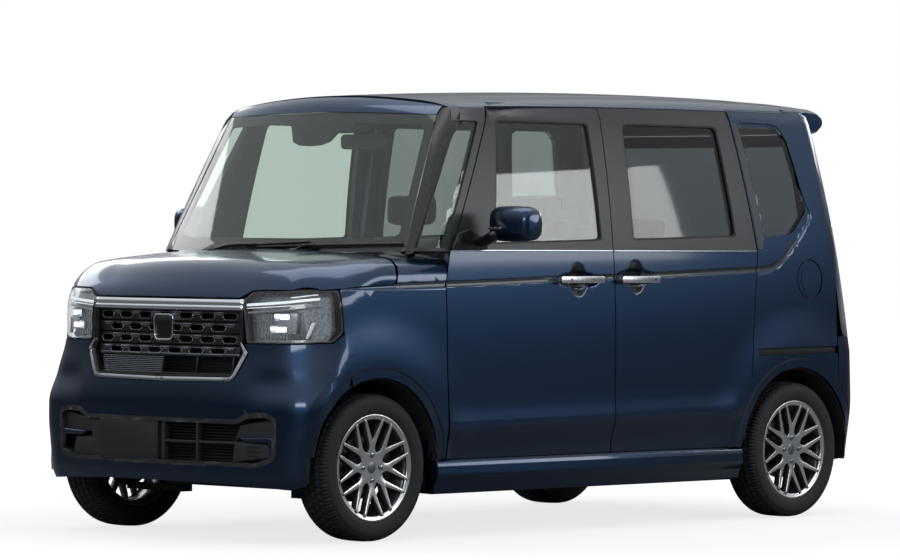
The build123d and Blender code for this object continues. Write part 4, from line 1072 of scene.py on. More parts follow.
@dataclass
class Flanks:
    """Doors, sliding doors, wings, quarters and sills, both sides."""

    door: Table = ((0.842, 0.303), (0.8565, 0.62), (0.8575, 0.985), (0.8285, 1.1045), (-0.1225, 1.1045),
                   (-0.1225, 0.303))
    slide: Table = ((-0.1275, 0.303), (-0.1275, 1.1045), (-1.027, 1.1045), (-1.0085, 0.968), (-0.9715, 0.62))
    door_frame: Table = ((0.818, 1.1075), (0.5275, 1.659, 0.04), (0.50, 1.688, 0.03), (-0.1225, 1.688),
                         (-0.1225, 1.1075))
    door_window: Table = ((0.577, 1.132, 0.01), (0.500, 1.618, 0.03), (-0.045, 1.618, 0.02),
                          (-0.062, 1.148, 0.02))
    slide_frame: Table = ((-0.1275, 1.1075), (-0.1275, 1.688), (-0.9245, 1.688), (-1.0265, 1.1075))
    slide_window: Table = ((-0.25, 1.15, 0.012), (-0.25, 1.62, 0.03), (-0.842, 1.62, 0.03),
                           (-0.90, 1.165, 0.02))
    quarter_window: Table = ((-1.08, 1.165, 0.03), (-0.985, 1.622, 0.02), (-1.215, 1.622, 0.03),
                             (-1.285, 1.58, 0.06), (-1.372, 1.28, 0.05), (-1.262, 1.18, 0.05))

    def build(self) -> None:
        """Builds every flank piece on both sides."""
        arch = [p for p in wheel_arc(REAR_AXLE, 0.3475, 75, 4) if p[0] > -0.9745 and 0.303 < p[1] < 0.50]
        slide = [*self.slide, *arch, (-0.9305, 0.303)]
        for side in Side:
            self.panel(side, "front_door_skin", f"door_{side.hand}", f"front_door_{side.hand}", self.door,
                       FRONT_AXLE, (-0.05, 0.235, 0.918, 1.066, 0.0045))
            self.window(side, "front_door", f"door_{side.hand}", self.door_frame, self.door_window,
                        Dress("glass", f"door_{side.hand}", (f"door_glass_{side.hand}",), PANE), CLEAR_GLASS)
            self.panel(side, "sliding_door_skin", "body", "sliding_doors", slide, REAR_AXLE,
                       (-0.385, -0.125, 0.93, 1.075, 0.0045))
            self.window(side, "sliding_door", "body", self.slide_frame, self.slide_window,
                        Dress("privacy", "body", ("side_glass",), PANE), PRIVACY)
            self.quarter(side)
            self.filler(side)
            self.wing(side)
            self.sill(side)

    def panel(self, side: Side, name: str, body: str, node: str, outline: Table, axle: float,
              fine: tuple[float, float, float, float, float]) -> None:
        """Painted lower panel of a door.

        Args:
            side: side of the car.
            name: plain name without the side.
            body: body that it rides on.
            node: construction node that it stands for.
            outline: its side view as (x, z).
            axle: place of the wheel whose arch cuts it.
            fine: rectangle and step of the finer grid round the handle's pocket.
        """
        skin = Sheet(FLANK, outline, lines=style_lines(axle), fine=(fine,), step=(0.035, 0.03))
        Dress("painted", body, (node,), PANEL_WALL, 0.0022).sided(side, name, skin.form(), PAINT, TRIM)

    def window(self, side: Side, name: str, body: str, frame: Table, hole: Table, pane: Dress,
               glass: Finish) -> None:
        """Filmed frame, glass and rubber lip of a door's window.

        Args:
            side: side of the car.
            name: plain name of the door.
            body: body that they ride on.
            frame: outline of the frame.
            hole: outline of the opening.
            pane: how the glass becomes a piece.
            glass: finish of the glass.
        """
        border = Sheet(FLANK, frame, holes=(hole,), step=(0.06, 0.05), inset=0.0015)
        Dress("gloss", body, (), 0.036, 0.002).sided(side, f"{name}_frame", border.form(), FRAME_FILM)
        sheet = Sheet(FLANK, grown(hole, 0.012), step=(0.06, 0.05), inset=0.010)
        pane.sided(side, f"{name}_glass", sheet.form(), glass)
        lip = Sheet(FLANK, grown(hole, 0.001), holes=(grown(hole, -0.007),), step=(0.09, 0.09), inset=0.0035)
        Dress("rubber", body, (), 0.006, 0.001).sided(side, f"{name}_window_seal", lip.form(), SEAL)

    def quarter(self, side: Side) -> None:
        """Rear quarter with its window, sliding door track, glass and pillar film."""
        arch = [p for p in wheel_arc(REAR_AXLE, ARCH, 14, 140) if p[0] > -1.60 and p[1] > 0.345]
        outline = [(-0.9345, 0.345), (-0.976, 0.62), (-1.0125, 0.968), (-1.0315, 1.1075), (-0.9285, 1.692),
                   (-1.40, 1.692), (-1.536, 1.30), (-1.5365, 1.2155), (-1.5365, 0.70), (-1.5365, 0.64),
                   *reversed(arch)]
        lines = [[(-1.03, z0), (-1.535, z1)] for z0, z1 in ((0.8665, 0.8785), (0.872, 0.884), (0.866, 0.874))]
        slot = ((-1.015, 0.675), (-1.015, 0.706), (-1.5365, 0.712), (-1.5365, 0.681))
        sheet = Sheet(FLANK, outline, holes=(self.quarter_window, self.flap(0.0835), slot),
                      lines=style_lines(REAR_AXLE) + lines)
        Dress("painted", "body", ("body_sides",), PANEL_WALL, 0.0022).sided(
            side, "rear_quarter", sheet.form(), PAINT, TRIM)
        groove = ((-1.012, 0.671), (-1.012, 0.710), (-1.534, 0.716), (-1.534, 0.677))
        track = Sheet(FLANK, groove, step=(0.08, 0.02), inset=0.011)
        Dress("trim", wall=0.01).sided(side, "sliding_door_track", track.form(), VOID)
        pane = Sheet(FLANK, grown(self.quarter_window, 0.012), step=(0.06, 0.05), inset=0.004)
        Dress("privacy", wall=PANE).sided(side, "quarter_glass", pane.form(), PRIVACY)
        pillar = ((-1.0395, 1.118), (-0.936, 1.68), (-0.975, 1.68), (-0.981, 1.625), (-1.0755, 1.165),
                  (-1.066, 1.118))
        film = Sheet(FLANK, pillar, step=(0.05, 0.05), inset=-0.0006)
        Dress("gloss", wall=0.003, edge=0.0008).sided(side, "rear_pillar_film", film.form(), FRAME_FILM)

    @staticmethod
    def flap(radius: float) -> list[tuple[float, float]]:
        """Circle about the fuel flap's middle."""
        return arc(-1.365, 0.992, radius, 0, 351, 30)

    def filler(self, side: Side) -> None:
        """Dished fuel flap on the left over its bowl, and its fixed twin on the right."""
        ring = Sheet(FLANK, self.flap(0.0785), holes=(self.flap(0.0560),), step=(0.02, 0.02), inset=0.0015)
        disc = Sheet(FLANK, self.flap(0.0575), step=(0.02, 0.02), inset=-0.0005)
        lid = ring.form().take(disc.mesh(), outward=False)
        if side is Side.RIGHT:
            Dress("painted", wall=0.004, edge=0.0012).piece("blank_quarter_plug", lid.flipped(), PAINT)
            return
        Dress("painted", "fuel_flap", ("fuel_flap",), 0.004, 0.0012).piece("fuel_flap_skin", lid, PAINT)
        dish = Sheet(FLANK, self.flap(0.086), inset=0.012)
        Dress("trim", wall=0.004).sided(side, "fuel_filler_bowl", dish.form(), DEEP_BLACK)

    def wing(self, side: Side) -> None:
        """Front wing round the wheel arch up to the bonnet."""
        arch = [p for p in wheel_arc(FRONT_AXLE, ARCH, 176, 62) if p[1] > 0.30 and p[0] < 1.3985]
        outline = [(0.8535, 0.304), (0.8625, 0.62), (0.8635, 0.985), (0.8325, 1.1025), (1.036, 1.1025),
                   (1.1085, 1.081), (1.1345, 0.972), (1.4175, 0.9615), (1.4315, 0.950), (1.4215, 0.779),
                   (1.3985, 0.641), *reversed(arch)]
        sheet = Sheet(WING, outline, lines=style_lines(FRONT_AXLE))
        Dress("painted", "body", ("wings",), 0.004, 0.0015).sided(
            side, "front_wing", sheet.form(), PAINT, UNDERSEAL)

    def sill(self, side: Side) -> None:
        """Sill under the doors, with its bright upper ledge."""
        profile = [(0.700, 0.300), (0.716, 0.2995), (0.7285, 0.291), (0.7315, 0.276), (0.7325, 0.256),
                   (0.7335, 0.244), (0.7295, 0.233), (0.716, 0.212), (0.7065, 0.176), (0.700, 0.168),
                   (0.62, 0.170), (0.62, 0.300)]
        Dress("painted").sided(side, "sill", Form().prism(profile, "x", -0.932, 0.902, 0.0015), PAINT)


@dataclass
class UpperBody:
    """Roof, screen pillars, quarter lights and windscreen."""

    quarter_light: Table = ((1.000, 1.116, 0.01), (0.858, 1.116, 0.01), (0.598, 1.612, 0.01),
                            (0.712, 1.612, 0.02))

    def build(self) -> None:
        """Builds the pieces above the belt."""
        self.roof()
        for side in Side:
            self.pillar(side)
        self.screen()

    def roof(self) -> None:
        """Ribbed roof panel with its headlining."""
        edge = ROOF.flat(0.5, 0.634, 1.6925)[1]
        half = [(0.7085, 0.0), (0.7065, 0.20), (0.700, 0.38), (0.690, 0.50), (0.6775, 0.575), (0.62, 0.633),
                (0.52, edge), (-1.3015, edge), (-1.3015, 0.0)]
        ribs = [[(0.6, s * v), (-1.31, s * v)] for s in (1, -1)
                for v in (0.13, 0.15, 0.17, 0.19, 0.37, 0.39, 0.41, 0.43)]
        sheet = Sheet(ROOF, mirrored_points(half, 1), step=(0.05, 0.04), lines=ribs)
        Dress("painted", "body", ("roof",), 0.028, 0.002).piece("roof_skin", sheet.form(), PAINT, HEADLINING)

    def pillar(self, side: Side) -> None:
        """Gloss black screen pillar, the quarter light behind it and the roof corner over it."""
        low, high = (0.6325, 1.100), (0.5655, 1.6345)
        foot, head = SCREEN.flat(1.010, 0.7035, 1.108), SCREEN.flat(0.707, 0.640, 1.624)
        outline = [low, high, (high[0] + 0.004, 1.662), (head[0], 1.668), head, foot, (foot[0], 1.095),
                   (low[0], 1.090)]
        post = Sheet(SCREEN, outline, step=(0.018, 0.09))
        Dress("gloss", "body", ("scuttle",), 0.030, 0.002).sided(
            side, "screen_pillar", post.form(), GLOSS_BLACK)
        frame = Sheet(FLANK, [(1.0195, 1.104), (0.8275, 1.104), (0.5325, 1.664), (0.706, 1.664, 0.02)],
                      holes=(self.quarter_light,), step=(0.05, 0.05), inset=0.001)
        Dress("gloss", wall=0.030, edge=0.002).sided(side, "quarter_light_frame", frame.form(), FRAME_FILM)
        pane = Sheet(FLANK, grown(self.quarter_light, 0.012), step=(0.05, 0.05), inset=0.007)
        Dress("glass", wall=PANE).sided(side, "quarter_light_glass", pane.form(), CLEAR_GLASS)
        strip = Sheet(FLANK, [(0.535, 1.6645), (0.706, 1.6645), (0.69, 1.70), (0.50, 1.7005), (0.503, 1.692)],
                      step=(0.03, 0.01))
        Dress("painted", wall=0.012, edge=0.0015).sided(side, "roof_corner", strip.form(), PAINT)

    def screen(self) -> None:
        """Windscreen glass with its black printed border, and the painted header over it."""
        glass = mirrored_points([(0.0, 1.094), (0.6285, 1.1005), (0.5615, 1.6345), (0.0, 1.6495)])
        pane = Sheet(SCREEN, glass, step=(0.05, 0.05), inset=0.001)
        Dress("glass", "body", ("windscreen",), 0.0045).piece("windscreen_glass", pane.form(), CLEAR_GLASS)
        top = [(y, 1.7095 - 0.1265 * y * y) for y in (0.5615, 0.50, 0.42, 0.30, 0.15, 0.0)]
        header = Sheet(SCREEN, mirrored_points([(0.0, 1.6515), (0.5615, 1.6365), *top]), step=(0.04, 0.012))
        Dress("painted", wall=0.012, edge=0.0015).piece("roof_header", header.form(), PAINT)
        clear = mirrored_points([(0.0, 1.150), (0.52, 1.150), (0.592, 1.165, 0.02), (0.532, 1.592, 0.03),
                                 (0.20, 1.604), (0.150, 1.594, 0.02), (0.105, 1.530, 0.02),
                                 (0.06, 1.516, 0.02), (0.0, 1.513)])
        print_edge = mirrored_points([(0.0, 1.096), (0.6265, 1.102), (0.5605, 1.632), (0.0, 1.647)])
        border = Sheet(SCREEN, print_edge, holes=(rounded(clear),), step=(0.06, 0.06), inset=0.0052)
        Dress("gloss", wall=0.0015).piece("windscreen_border", border.form(), DEEP_BLACK)


# ---------------------------------------------------------------- front end
def band(form: Form, outline: Table, inset: float, depth: float, edge: float, material: int = 0) -> None:
    """Adds a solid strip that follows the nose.

    Args:
        form: form that gets it.
        outline: its front view as (y, z).
        inset: how far its face lies inside the skin.
        depth: how thick it is.
        edge: bevel of its sharp edges.
        material: material slot.
    """
    Sheet(NOSE, outline, inset=inset).slab(form, depth, edge, material)


def ring(form: Form, outer: Table, inner: Table, inset: float, depth: float, edge: float) -> None:
    """Adds a flat ring between two outlines of equal count that follows the nose.

    Args:
        form: form that gets it.
        outer: outer outline as (y, z).
        inner: inner outline.
        inset: how far its face lies inside the skin.
        depth: how thick it is.
        edge: bevel of its sharp edges.
    """
    bm = bmesh.new()
    outside, within = [[bm.verts.new(place) for place in NOSE.drape(np.array([p[:2] for p in outline]), inset)]
                       for outline in (outer, inner)]
    for i, (start, bound) in enumerate(zip(outside, within)):
        bm.faces.new((outside[i - 1], start, bound, within[i - 1]))
    bmesh.ops.recalc_face_normals(bm, faces=bm.faces[:])
    if sum(f.normal.x for f in bm.faces) < 0:
        bmesh.ops.reverse_faces(bm, faces=bm.faces[:])
    form.take(thicken(bm, (-depth, 0.0, 0.0), edge))


def hexagon(y: float, z: float, tip: float, flat: float, half: float) -> list[tuple[float, float]]:
    """Lying hexagon about a point: reach of its tips, of its flat sides' ends, and half its height."""
    return [(y - tip, z), (y - flat, z + half), (y + flat, z + half), (y + tip, z), (y + flat, z - half),
            (y - flat, z - half)]


@dataclass
class FrontEnd:
    """Bonnet, bumper, grille, brow bar, lower intake and plate."""

    grille: Table = ((0.0, 0.600), (0.389, 0.606, 0.04), (0.4465, 0.712, 0.02), (0.4175, 0.7625, 0.01),
                     (0.418, 0.80), (0.0, 0.80))
    intake: Table = ((0.0, 0.2845), (0.52, 0.2865, 0.05), (0.5985, 0.318, 0.03), (0.6005, 0.478, 0.03),
                     (0.545, 0.4965, 0.03), (0.462, 0.492, 0.02), (0.405, 0.4655, 0.02), (0.0, 0.4655))

    def build(self) -> None:
        """Builds every piece of the front."""
        self.bonnet()
        self.bumper()
        self.brow()
        self.surround()
        self.mesh_grille()
        self.emblem()
        self.core()
        self.lower_intake()
        self.vents()
        self.plate()

    def bonnet(self) -> None:
        """Clamshell bonnet down to the wing groove and the lamps."""
        edge = BONNET.trace([(1.663, 0.0, 0.9235), (1.655, 0.25, 0.9235), (1.6435, 0.395, 0.9255),
                             (1.628, 0.447, 0.9555), (1.585, 0.61, 0.9625), (1.50, 0.70, 0.966),
                             (1.43, 0.723, 0.9675), (1.139, 0.73, 0.9765), (1.1305, 0.705, 1.045),
                             (1.1265, 0.64, 1.083)])
        sheet = Sheet(BONNET, mirrored_points(edge + [(1.128, 0.33), (1.131, 0.0)], 1), step=(0.025, 0.025))
        Dress("painted", "bonnet", ("bonnet",), 0.006, 0.0025).piece(
            "bonnet_skin", sheet.form(), PAINT, UNDERSEAL)

    def bumper(self) -> None:
        """Bumper wrapped round the nose with the grille and intake cut out."""
        arch = [p for p in wheel_arc(FRONT_AXLE, ARCH, 2, 62) if p[0] > 1.3935 and p[1] > 0.235]
        half = [(0.0, 0.2225), (0.30, 0.221), (0.52, 0.213), (0.66, 0.205),
                (NOSE.flat(1.583, 0.70, 0.22)[0], 0.222)]
        half += NOSE.trace([(x, 0.72, z) for x, z in arch])
        half += NOSE.trace([(1.3955, 0.72, 0.6375), (1.4185, 0.72, 0.7775), (1.4245, 0.72, 0.789),
                            (1.472, 0.71, 0.7545), (1.60, 0.655, 0.7495)])
        lines = [NOSE.trace([(x, 0.72, z) for x, z in wheel_arc(FRONT_AXLE, r, 0, 60)])
                 for r in (0.3755, 0.3785, 0.382, 0.392, 0.42)]
        lines += [[(-u, z) for u, z in line] for line in lines]
        sheet = Sheet(NOSE, mirrored_points(half + [(0.4275, 0.7495), (0.0, 0.7495)]),
                      holes=(mirrored_points(self.grille), mirrored_points(self.intake)), lines=lines,
                      step=(0.022, 0.02))
        Dress("painted", "body", ("front_bumper",), 0.012, 0.003).piece(
            "front_bumper_skin", sheet.form(), PAINT, UNDERSEAL)

    def brow(self) -> None:
        """Three-step chrome bar over the grille."""
        section = ((-0.020, 0.9185), (-0.006, 0.9185), (-0.0012, 0.9155), (0.0022, 0.9035), (0.0014, 0.8995),
                   (-0.0045, 0.8980), (-0.0045, 0.8962), (-0.0002, 0.8945), (0.0026, 0.8860),
                   (0.0018, 0.8785), (-0.004, 0.8752), (-0.020, 0.8752))
        run = NOSE.drape(np.array([(-0.4105 + 0.821 * k / 40, 0.90) for k in range(41)]))
        form = Form().loft([[(x + dx, y, z) for dx, z in section] for x, y, _ in run])
        Dress("chrome").piece("brow_bar", form, CHROME)
        back = Form()
        band(back, box(-0.4115, 0.4115, 0.872, 0.9205), 0.010, 0.02, 0.001)
        Dress("trim").piece("brow_bar_backing", back, DEEP_BLACK)

    def surround(self) -> None:
        """Chrome U round the grille with its dark inner flank."""
        outer = [(0.4065, 0.7575), (0.4415, 0.7165, 0.012), (0.3845, 0.6085, 0.035), (0.0, 0.6035)]
        inner = [(0.0, 0.6185), (0.376, 0.6225, 0.03), (0.4235, 0.7175, 0.012), (0.4045, 0.7455)]
        form = Form()
        band(form, rounded(self.both(outer, inner)), -0.0015, 0.03, 0.003)
        Dress("chrome").piece("grille_surround", form, CHROME)
        outer = [(0.4075, 0.7465), (0.4235, 0.7175, 0.012), (0.376, 0.6220, 0.03), (0.0, 0.6180)]
        inner = [(0.0, 0.6275), (0.3665, 0.6315, 0.025), (0.4095, 0.7175, 0.01), (0.3925, 0.7445),
                 (0.3925, 0.872), (0.4075, 0.872)]
        flank = Form()
        band(flank, rounded(self.both(outer, inner)), 0.008, 0.05, 0.0015)
        Dress("trim", "body", ("grille",)).piece("grille_frame", flank, DEEP_BLACK)

    @staticmethod
    def both(outer: Table, inner: Table) -> list[tuple[float, ...]]:
        """Closed U outline from its left outer run, down to the centre, and its left inner run, back up."""
        right, back = [[(-p[0], *p[1:]) for p in reversed(run) if p[0] > 1e-4] for run in (outer, inner)]
        return [*outer, *right, *back, *inner]

    def mesh_grille(self) -> None:
        """Rows of hexagonal openings with bright steps, a silver slat panel and two dark bays."""
        dark, bright = Form(), Form()
        pitch = 0.1125
        for row, z in enumerate((0.8520, 0.8073, 0.7627, 0.7180)):
            shift = pitch / 2 if row % 2 else 0.0
            width = 0.3885 if row < 3 else 0.386
            middles = [k * pitch + shift for k in range(-4, 5) if abs(k * pitch + shift) + 0.044 <= width]
            holes = [hexagon(y, z, 0.0385, 0.026, 0.0122) for y in middles]
            for y, hole in zip(middles, holes):
                ring(bright, hexagon(y, z, 0.0400, 0.0268, 0.0137), hole, 0.0165, 0.004, 0.0)
            lattice = Sheet(NOSE, box(-width, width, z - 0.0195, z + 0.0195), holes=holes, step=(0.06, 0.02),
                            inset=0.019)
            lattice.slab(dark, 0.014, 0.0012)
            for y in [(k + 0.5) * pitch + shift for k in range(-5, 5)]:
                if abs(y) + 0.034 <= width:
                    cap = [(y - 0.0285, z + 0.0165), (y + 0.0285, z + 0.0165), (y + 0.0145, z + 0.0035),
                           (y - 0.0145, z + 0.0035)]
                    band(bright, cap, 0.0155, 0.005, 0.0012)
        band(bright, box(-0.385, 0.385, 0.7045, 0.7095), 0.018, 0.006, 0.001)
        band(dark, box(-0.392, 0.392, 0.6985, 0.7045), 0.022, 0.014, 0.001)
        for k in range(9):
            z = 0.6925 - 0.0072 * k
            band(bright, box(0.0015 * k - 0.366, -0.012, z - 0.0018, z + 0.0018), 0.020, 0.006, 0.0008)
        for y in (-0.012, 0.172, 0.354):
            band(dark, box(y, y + 0.008, 0.634, 0.699), 0.020, 0.016, 0.001)
        band(dark, [(-0.362, 0.628), (0.362, 0.628), (0.366, 0.636), (-0.366, 0.636)], 0.020, 0.016, 0.001)
        Dress("chrome").piece("grille_bright_steps", bright, DARK_CHROME)
        Dress("gloss").piece("grille_bars", dark, DEEP_BLACK)

    def emblem(self) -> None:
        """Blank shield: chrome ring round a plain black field."""
        outer, inner = [rounded([(-top, high, r), (top, high, r), (foot, low, r), (-foot, low, r)], 5)
                        for top, foot, high, low, r in ((0.058, 0.050, 0.8590, 0.7560, 0.024),
                                                        (0.0505, 0.0435, 0.8520, 0.7630, 0.019))]
        form = Form()
        ring(form, outer, inner, 0.004, 0.02, 0.002)
        band(form, inner, 0.009, 0.016, 0.002, 1)
        Dress("chrome").piece("blank_emblem_shield", form, CHROME, GLOSS_BLACK)

    def core(self) -> None:
        """Radiator and its fins behind the openings."""
        form = Form().block((1.58, -0.40, 0.60), (1.592, 0.40, 0.90), 0.002)
        form.block((1.585, -0.58, 0.27), (1.597, 0.58, 0.50), 0.002)
        for k in range(26):
            z = 0.615 + k * 0.0105
            form.block((1.592, -0.39, z), (1.600, 0.39, z + 0.0035), 0.0006, segments=1)
        Dress("trim").piece("radiator_core", form, VOID)

    def lower_intake(self) -> None:
        """Black lower frame with its bays and wedges."""
        outer = [(0.0, 0.2835), *self.intake[1:-1], (0.0, 0.4665)]
        inner = mirrored_points([(0.0, 0.3015), (0.505, 0.303, 0.03), (0.578, 0.327, 0.02),
                                 (0.583, 0.466, 0.02), (0.543, 0.4755, 0.02), (0.47, 0.4715, 0.02),
                                 (0.41, 0.4475, 0.02), (0.0, 0.4485)])
        form = Form()
        Sheet(NOSE, mirrored_points(outer), holes=(rounded(inner),), inset=0.001).slab(form, 0.035, 0.0025)
        for y0, y1 in ((-0.395, -0.330), (0.012, 0.030), (0.198, 0.208)):
            band(form, box(y0, y1, 0.30, 0.450), 0.012, 0.03, 0.0015)
        band(form, [(0.03, 0.369), (0.40, 0.371), (0.40, 0.381), (0.03, 0.379)], 0.011, 0.03, 0.0015)
        for wedge, inset in (
                ([(0.385, 0.303), (0.575, 0.325), (0.545, 0.375), (0.395, 0.381)], 0.012),
                ([(-0.385, 0.303), (-0.52, 0.303), (-0.50, 0.372), (-0.36, 0.378)], 0.012),
                ([(0.385, 0.376), (0.415, 0.445), (0.58, 0.468), (0.585, 0.40), (0.41, 0.395)], 0.020),
                ([(-0.335, 0.376), (-0.335, 0.448), (-0.41, 0.448), (-0.58, 0.468), (-0.585, 0.40),
                  (-0.41, 0.395)], 0.020)):
            band(form, wedge, inset, 0.03, 0.003)
        Dress("trim").piece("lower_intake_frame", form, GRAINED)

    def vents(self) -> None:
        """Slots in the left wedge, fins behind the frame and a painted blade at each end of it."""
        slots = Form()
        for k in range(3):
            z, near, far = 0.362 - 0.0165 * k, 0.452 + 0.004 * k, 0.518 + 0.003 * k
            slot = [(near, z - 0.004), (far, z - 0.004), (far - 0.002, z + 0.004), (near - 0.002, z + 0.004)]
            band(slots, slot, 0.0112, 0.004, 0.001)
        Dress("trim").piece("vent_wedge_slots", slots, VOID)
        fins = Form()
        for k in range(13):
            band(fins, box(0.03, 0.40, 0.306 + 0.0115 * k, 0.309 + 0.0115 * k), 0.036, 0.012, 0.0006)
        Dress("trim").piece("lower_intake_fins", fins, DEEP_BLACK)
        blades = Form()
        blade = [(0.425, 0.396), (0.572, 0.402), (0.583, 0.3925), (0.575, 0.331), (0.566, 0.329),
                 (0.560, 0.380), (0.45, 0.381)]
        for side in Side:
            band(blades, [(side.value * y, z) for y, z in blade], 0.003, 0.03, 0.003)
        Dress("painted").piece("intake_blades", blades, PAINT)

    def plate(self) -> None:
        """Blank dark plate on its pad."""
        form = Form().prism(rounded(box(-0.3295, -0.0015, 0.2985, 0.4635, 0.006), 3), "x", 1.6885, 1.6905, 0.0006)
        form.prism(rounded(box(-0.321, -0.010, 0.307, 0.455, 0.01), 3), "x", 1.6905, 1.6913, 0.0004)
        Dress("trim").piece("blank_front_plate", form, PLATE)
        pad = Form().prism(rounded(box(-0.325, -0.005, 0.302, 0.460, 0.01), 3), "x", 1.655, 1.6884, 0.002)
        Dress("trim").piece("front_plate_pad", pad, GRAINED)


@dataclass
class Lamps:
    """Headlamps with their modules, and tail lamps."""

    # Corners of the headlamp's edge as (x, y, z, corner radius).
    lamp: Table = ((1.645, 0.412, 0.918, 0.008), (1.631, 0.450, 0.9465, 0.012), (1.60, 0.655, 0.9535),
                   (1.4375, 0.72, 0.9535, 0.02), (1.4275, 0.72, 0.80, 0.035), (1.47, 0.71, 0.7605, 0.03),
                   (1.60, 0.655, 0.7545), (1.645, 0.432, 0.7545, 0.012))
    modules: Table = ((0.540, 0.8535), (0.522, 0.8065))

    def build(self) -> None:
        """Builds the lamps of both sides."""
        for side in Side:
            self.headlamp(side)
            self.headlamp_insides(side)
            self.tail_lamp(side)

    def headlamp(self, side: Side) -> None:
        """Clear cover over a ribbed metallised bowl."""
        outline = NOSE.trace(self.lamp)
        cover = Sheet(NOSE, outline, step=(0.018, 0.018), inset=0.0005)
        Dress("lamp", "body", ("headlamps",), 0.0028).sided(side, "headlamp_cover", cover.form(), LENS)
        bowl = Sheet(NOSE, grown(outline, 0.002), step=(0.02, 0.02), inset=0.045).form()
        rim = Sheet(NOSE, grown(outline, 0.0035), holes=(rounded(grown(outline, -0.004)),), inset=0.004)
        bowl.take(thicken(rim.mesh(), (-0.045, -0.012, 0.0)), 1)
        for k in range(22):
            y = 0.44 + k * 0.0135
            band(bowl, box(y, y + 0.006, 0.768, 0.872), 0.041, 0.006, 0.0008)
        band(bowl, [(0.425, 0.872), (0.80, 0.900), (0.80, 0.893), (0.425, 0.864)], 0.012, 0.03, 0.001)
        band(bowl, [(0.545, 0.789), (0.66, 0.789), (0.675, 0.872), (0.560, 0.872)], 0.024, 0.02, 0.003)
        Dress("alloy").sided(side, "headlamp_bowl", bowl, BOWL, DEEP_BLACK)

    def headlamp_insides(self, side: Side) -> None:
        """Light guides, two lit modules and their satin frames."""
        guides, lit, trim = Form(), Form(), Form()
        band(guides, [(0.422, 0.902), (0.70, 0.921), (0.80, 0.927), (0.80, 0.917), (0.70, 0.911),
                      (0.422, 0.892)], 0.008, 0.012, 0.002)
        band(guides, [(0.62, 0.928), (0.80, 0.940), (0.80, 0.936), (0.62, 0.924)], 0.010, 0.008, 0.0015)
        band(guides, [(0.422, 0.886), (0.62, 0.898), (0.62, 0.895), (0.422, 0.883)], 0.010, 0.008, 0.0012)
        band(trim, [(0.722, 0.772), (0.735, 0.772), (0.770, 0.832), (0.762, 0.836)], 0.012, 0.02, 0.002)
        for y, z in self.modules:
            band(lit, [(y + 0.022, z - 0.010), (y + 0.068, z - 0.010), (y + 0.070, z + 0.010),
                       (y + 0.024, z + 0.010)], 0.018, 0.012, 0.003)
            band(lit, [(y, z - 0.004), (y + 0.016, z - 0.004), (y + 0.018, z + 0.010), (y, z + 0.010)],
                 0.018, 0.010, 0.0015)
            band(trim, [(y - 0.006, z - 0.016), (y + 0.082, z - 0.016), (y + 0.090, z + 0.016),
                        (y - 0.004, z + 0.016)], 0.026, 0.02, 0.003)
        Dress("lamp").sided(side, "daylight_guides", guides, GUIDE)
        Dress("lamp").sided(side, "projector_lenses", lit, LIT)
        Dress("chrome").sided(side, "headlamp_fin", trim, SATIN)

    def tail_lamp(self, side: Side) -> None:
        """Tall tail lamp on the rear corner with its three lenses."""
        corner = TAIL.trace([(-1.5375, 0.73, 1.2125, 0.02), (-1.594, 0.73, 0.80, 0.02),
                             (-1.613, 0.73, 0.7525, 0.01)])
        cover = Sheet(TAIL, [(0.603, 0.7525, 0.01), (0.603, 1.2125, 0.01), *corner], step=(0.02, 0.03),
                      inset=-0.0005)
        Dress("redlamp", "body", ("tail_lamps",), 0.018, 0.0025).sided(
            side, "tail_lamp_cover", cover.form(), TAIL_LENS)
        for name, slot, y, low, high, finish in (("stop_lens", "redlamp", 0.655, 0.965, 1.190, RED_LENS),
                                                 ("reversing_lens", "lamp", 0.668, 0.768, 0.855, GUIDE),
                                                 ("turn_lens", "redlamp", 0.668, 0.865, 0.950, AMBER)):
            lens = Sheet(TAIL, box(0.612, y, low, high, 0.006), step=(0.02, 0.02), inset=-0.002)
            Dress(slot, wall=0.004, edge=0.001).sided(side, name, lens.form(), finish)


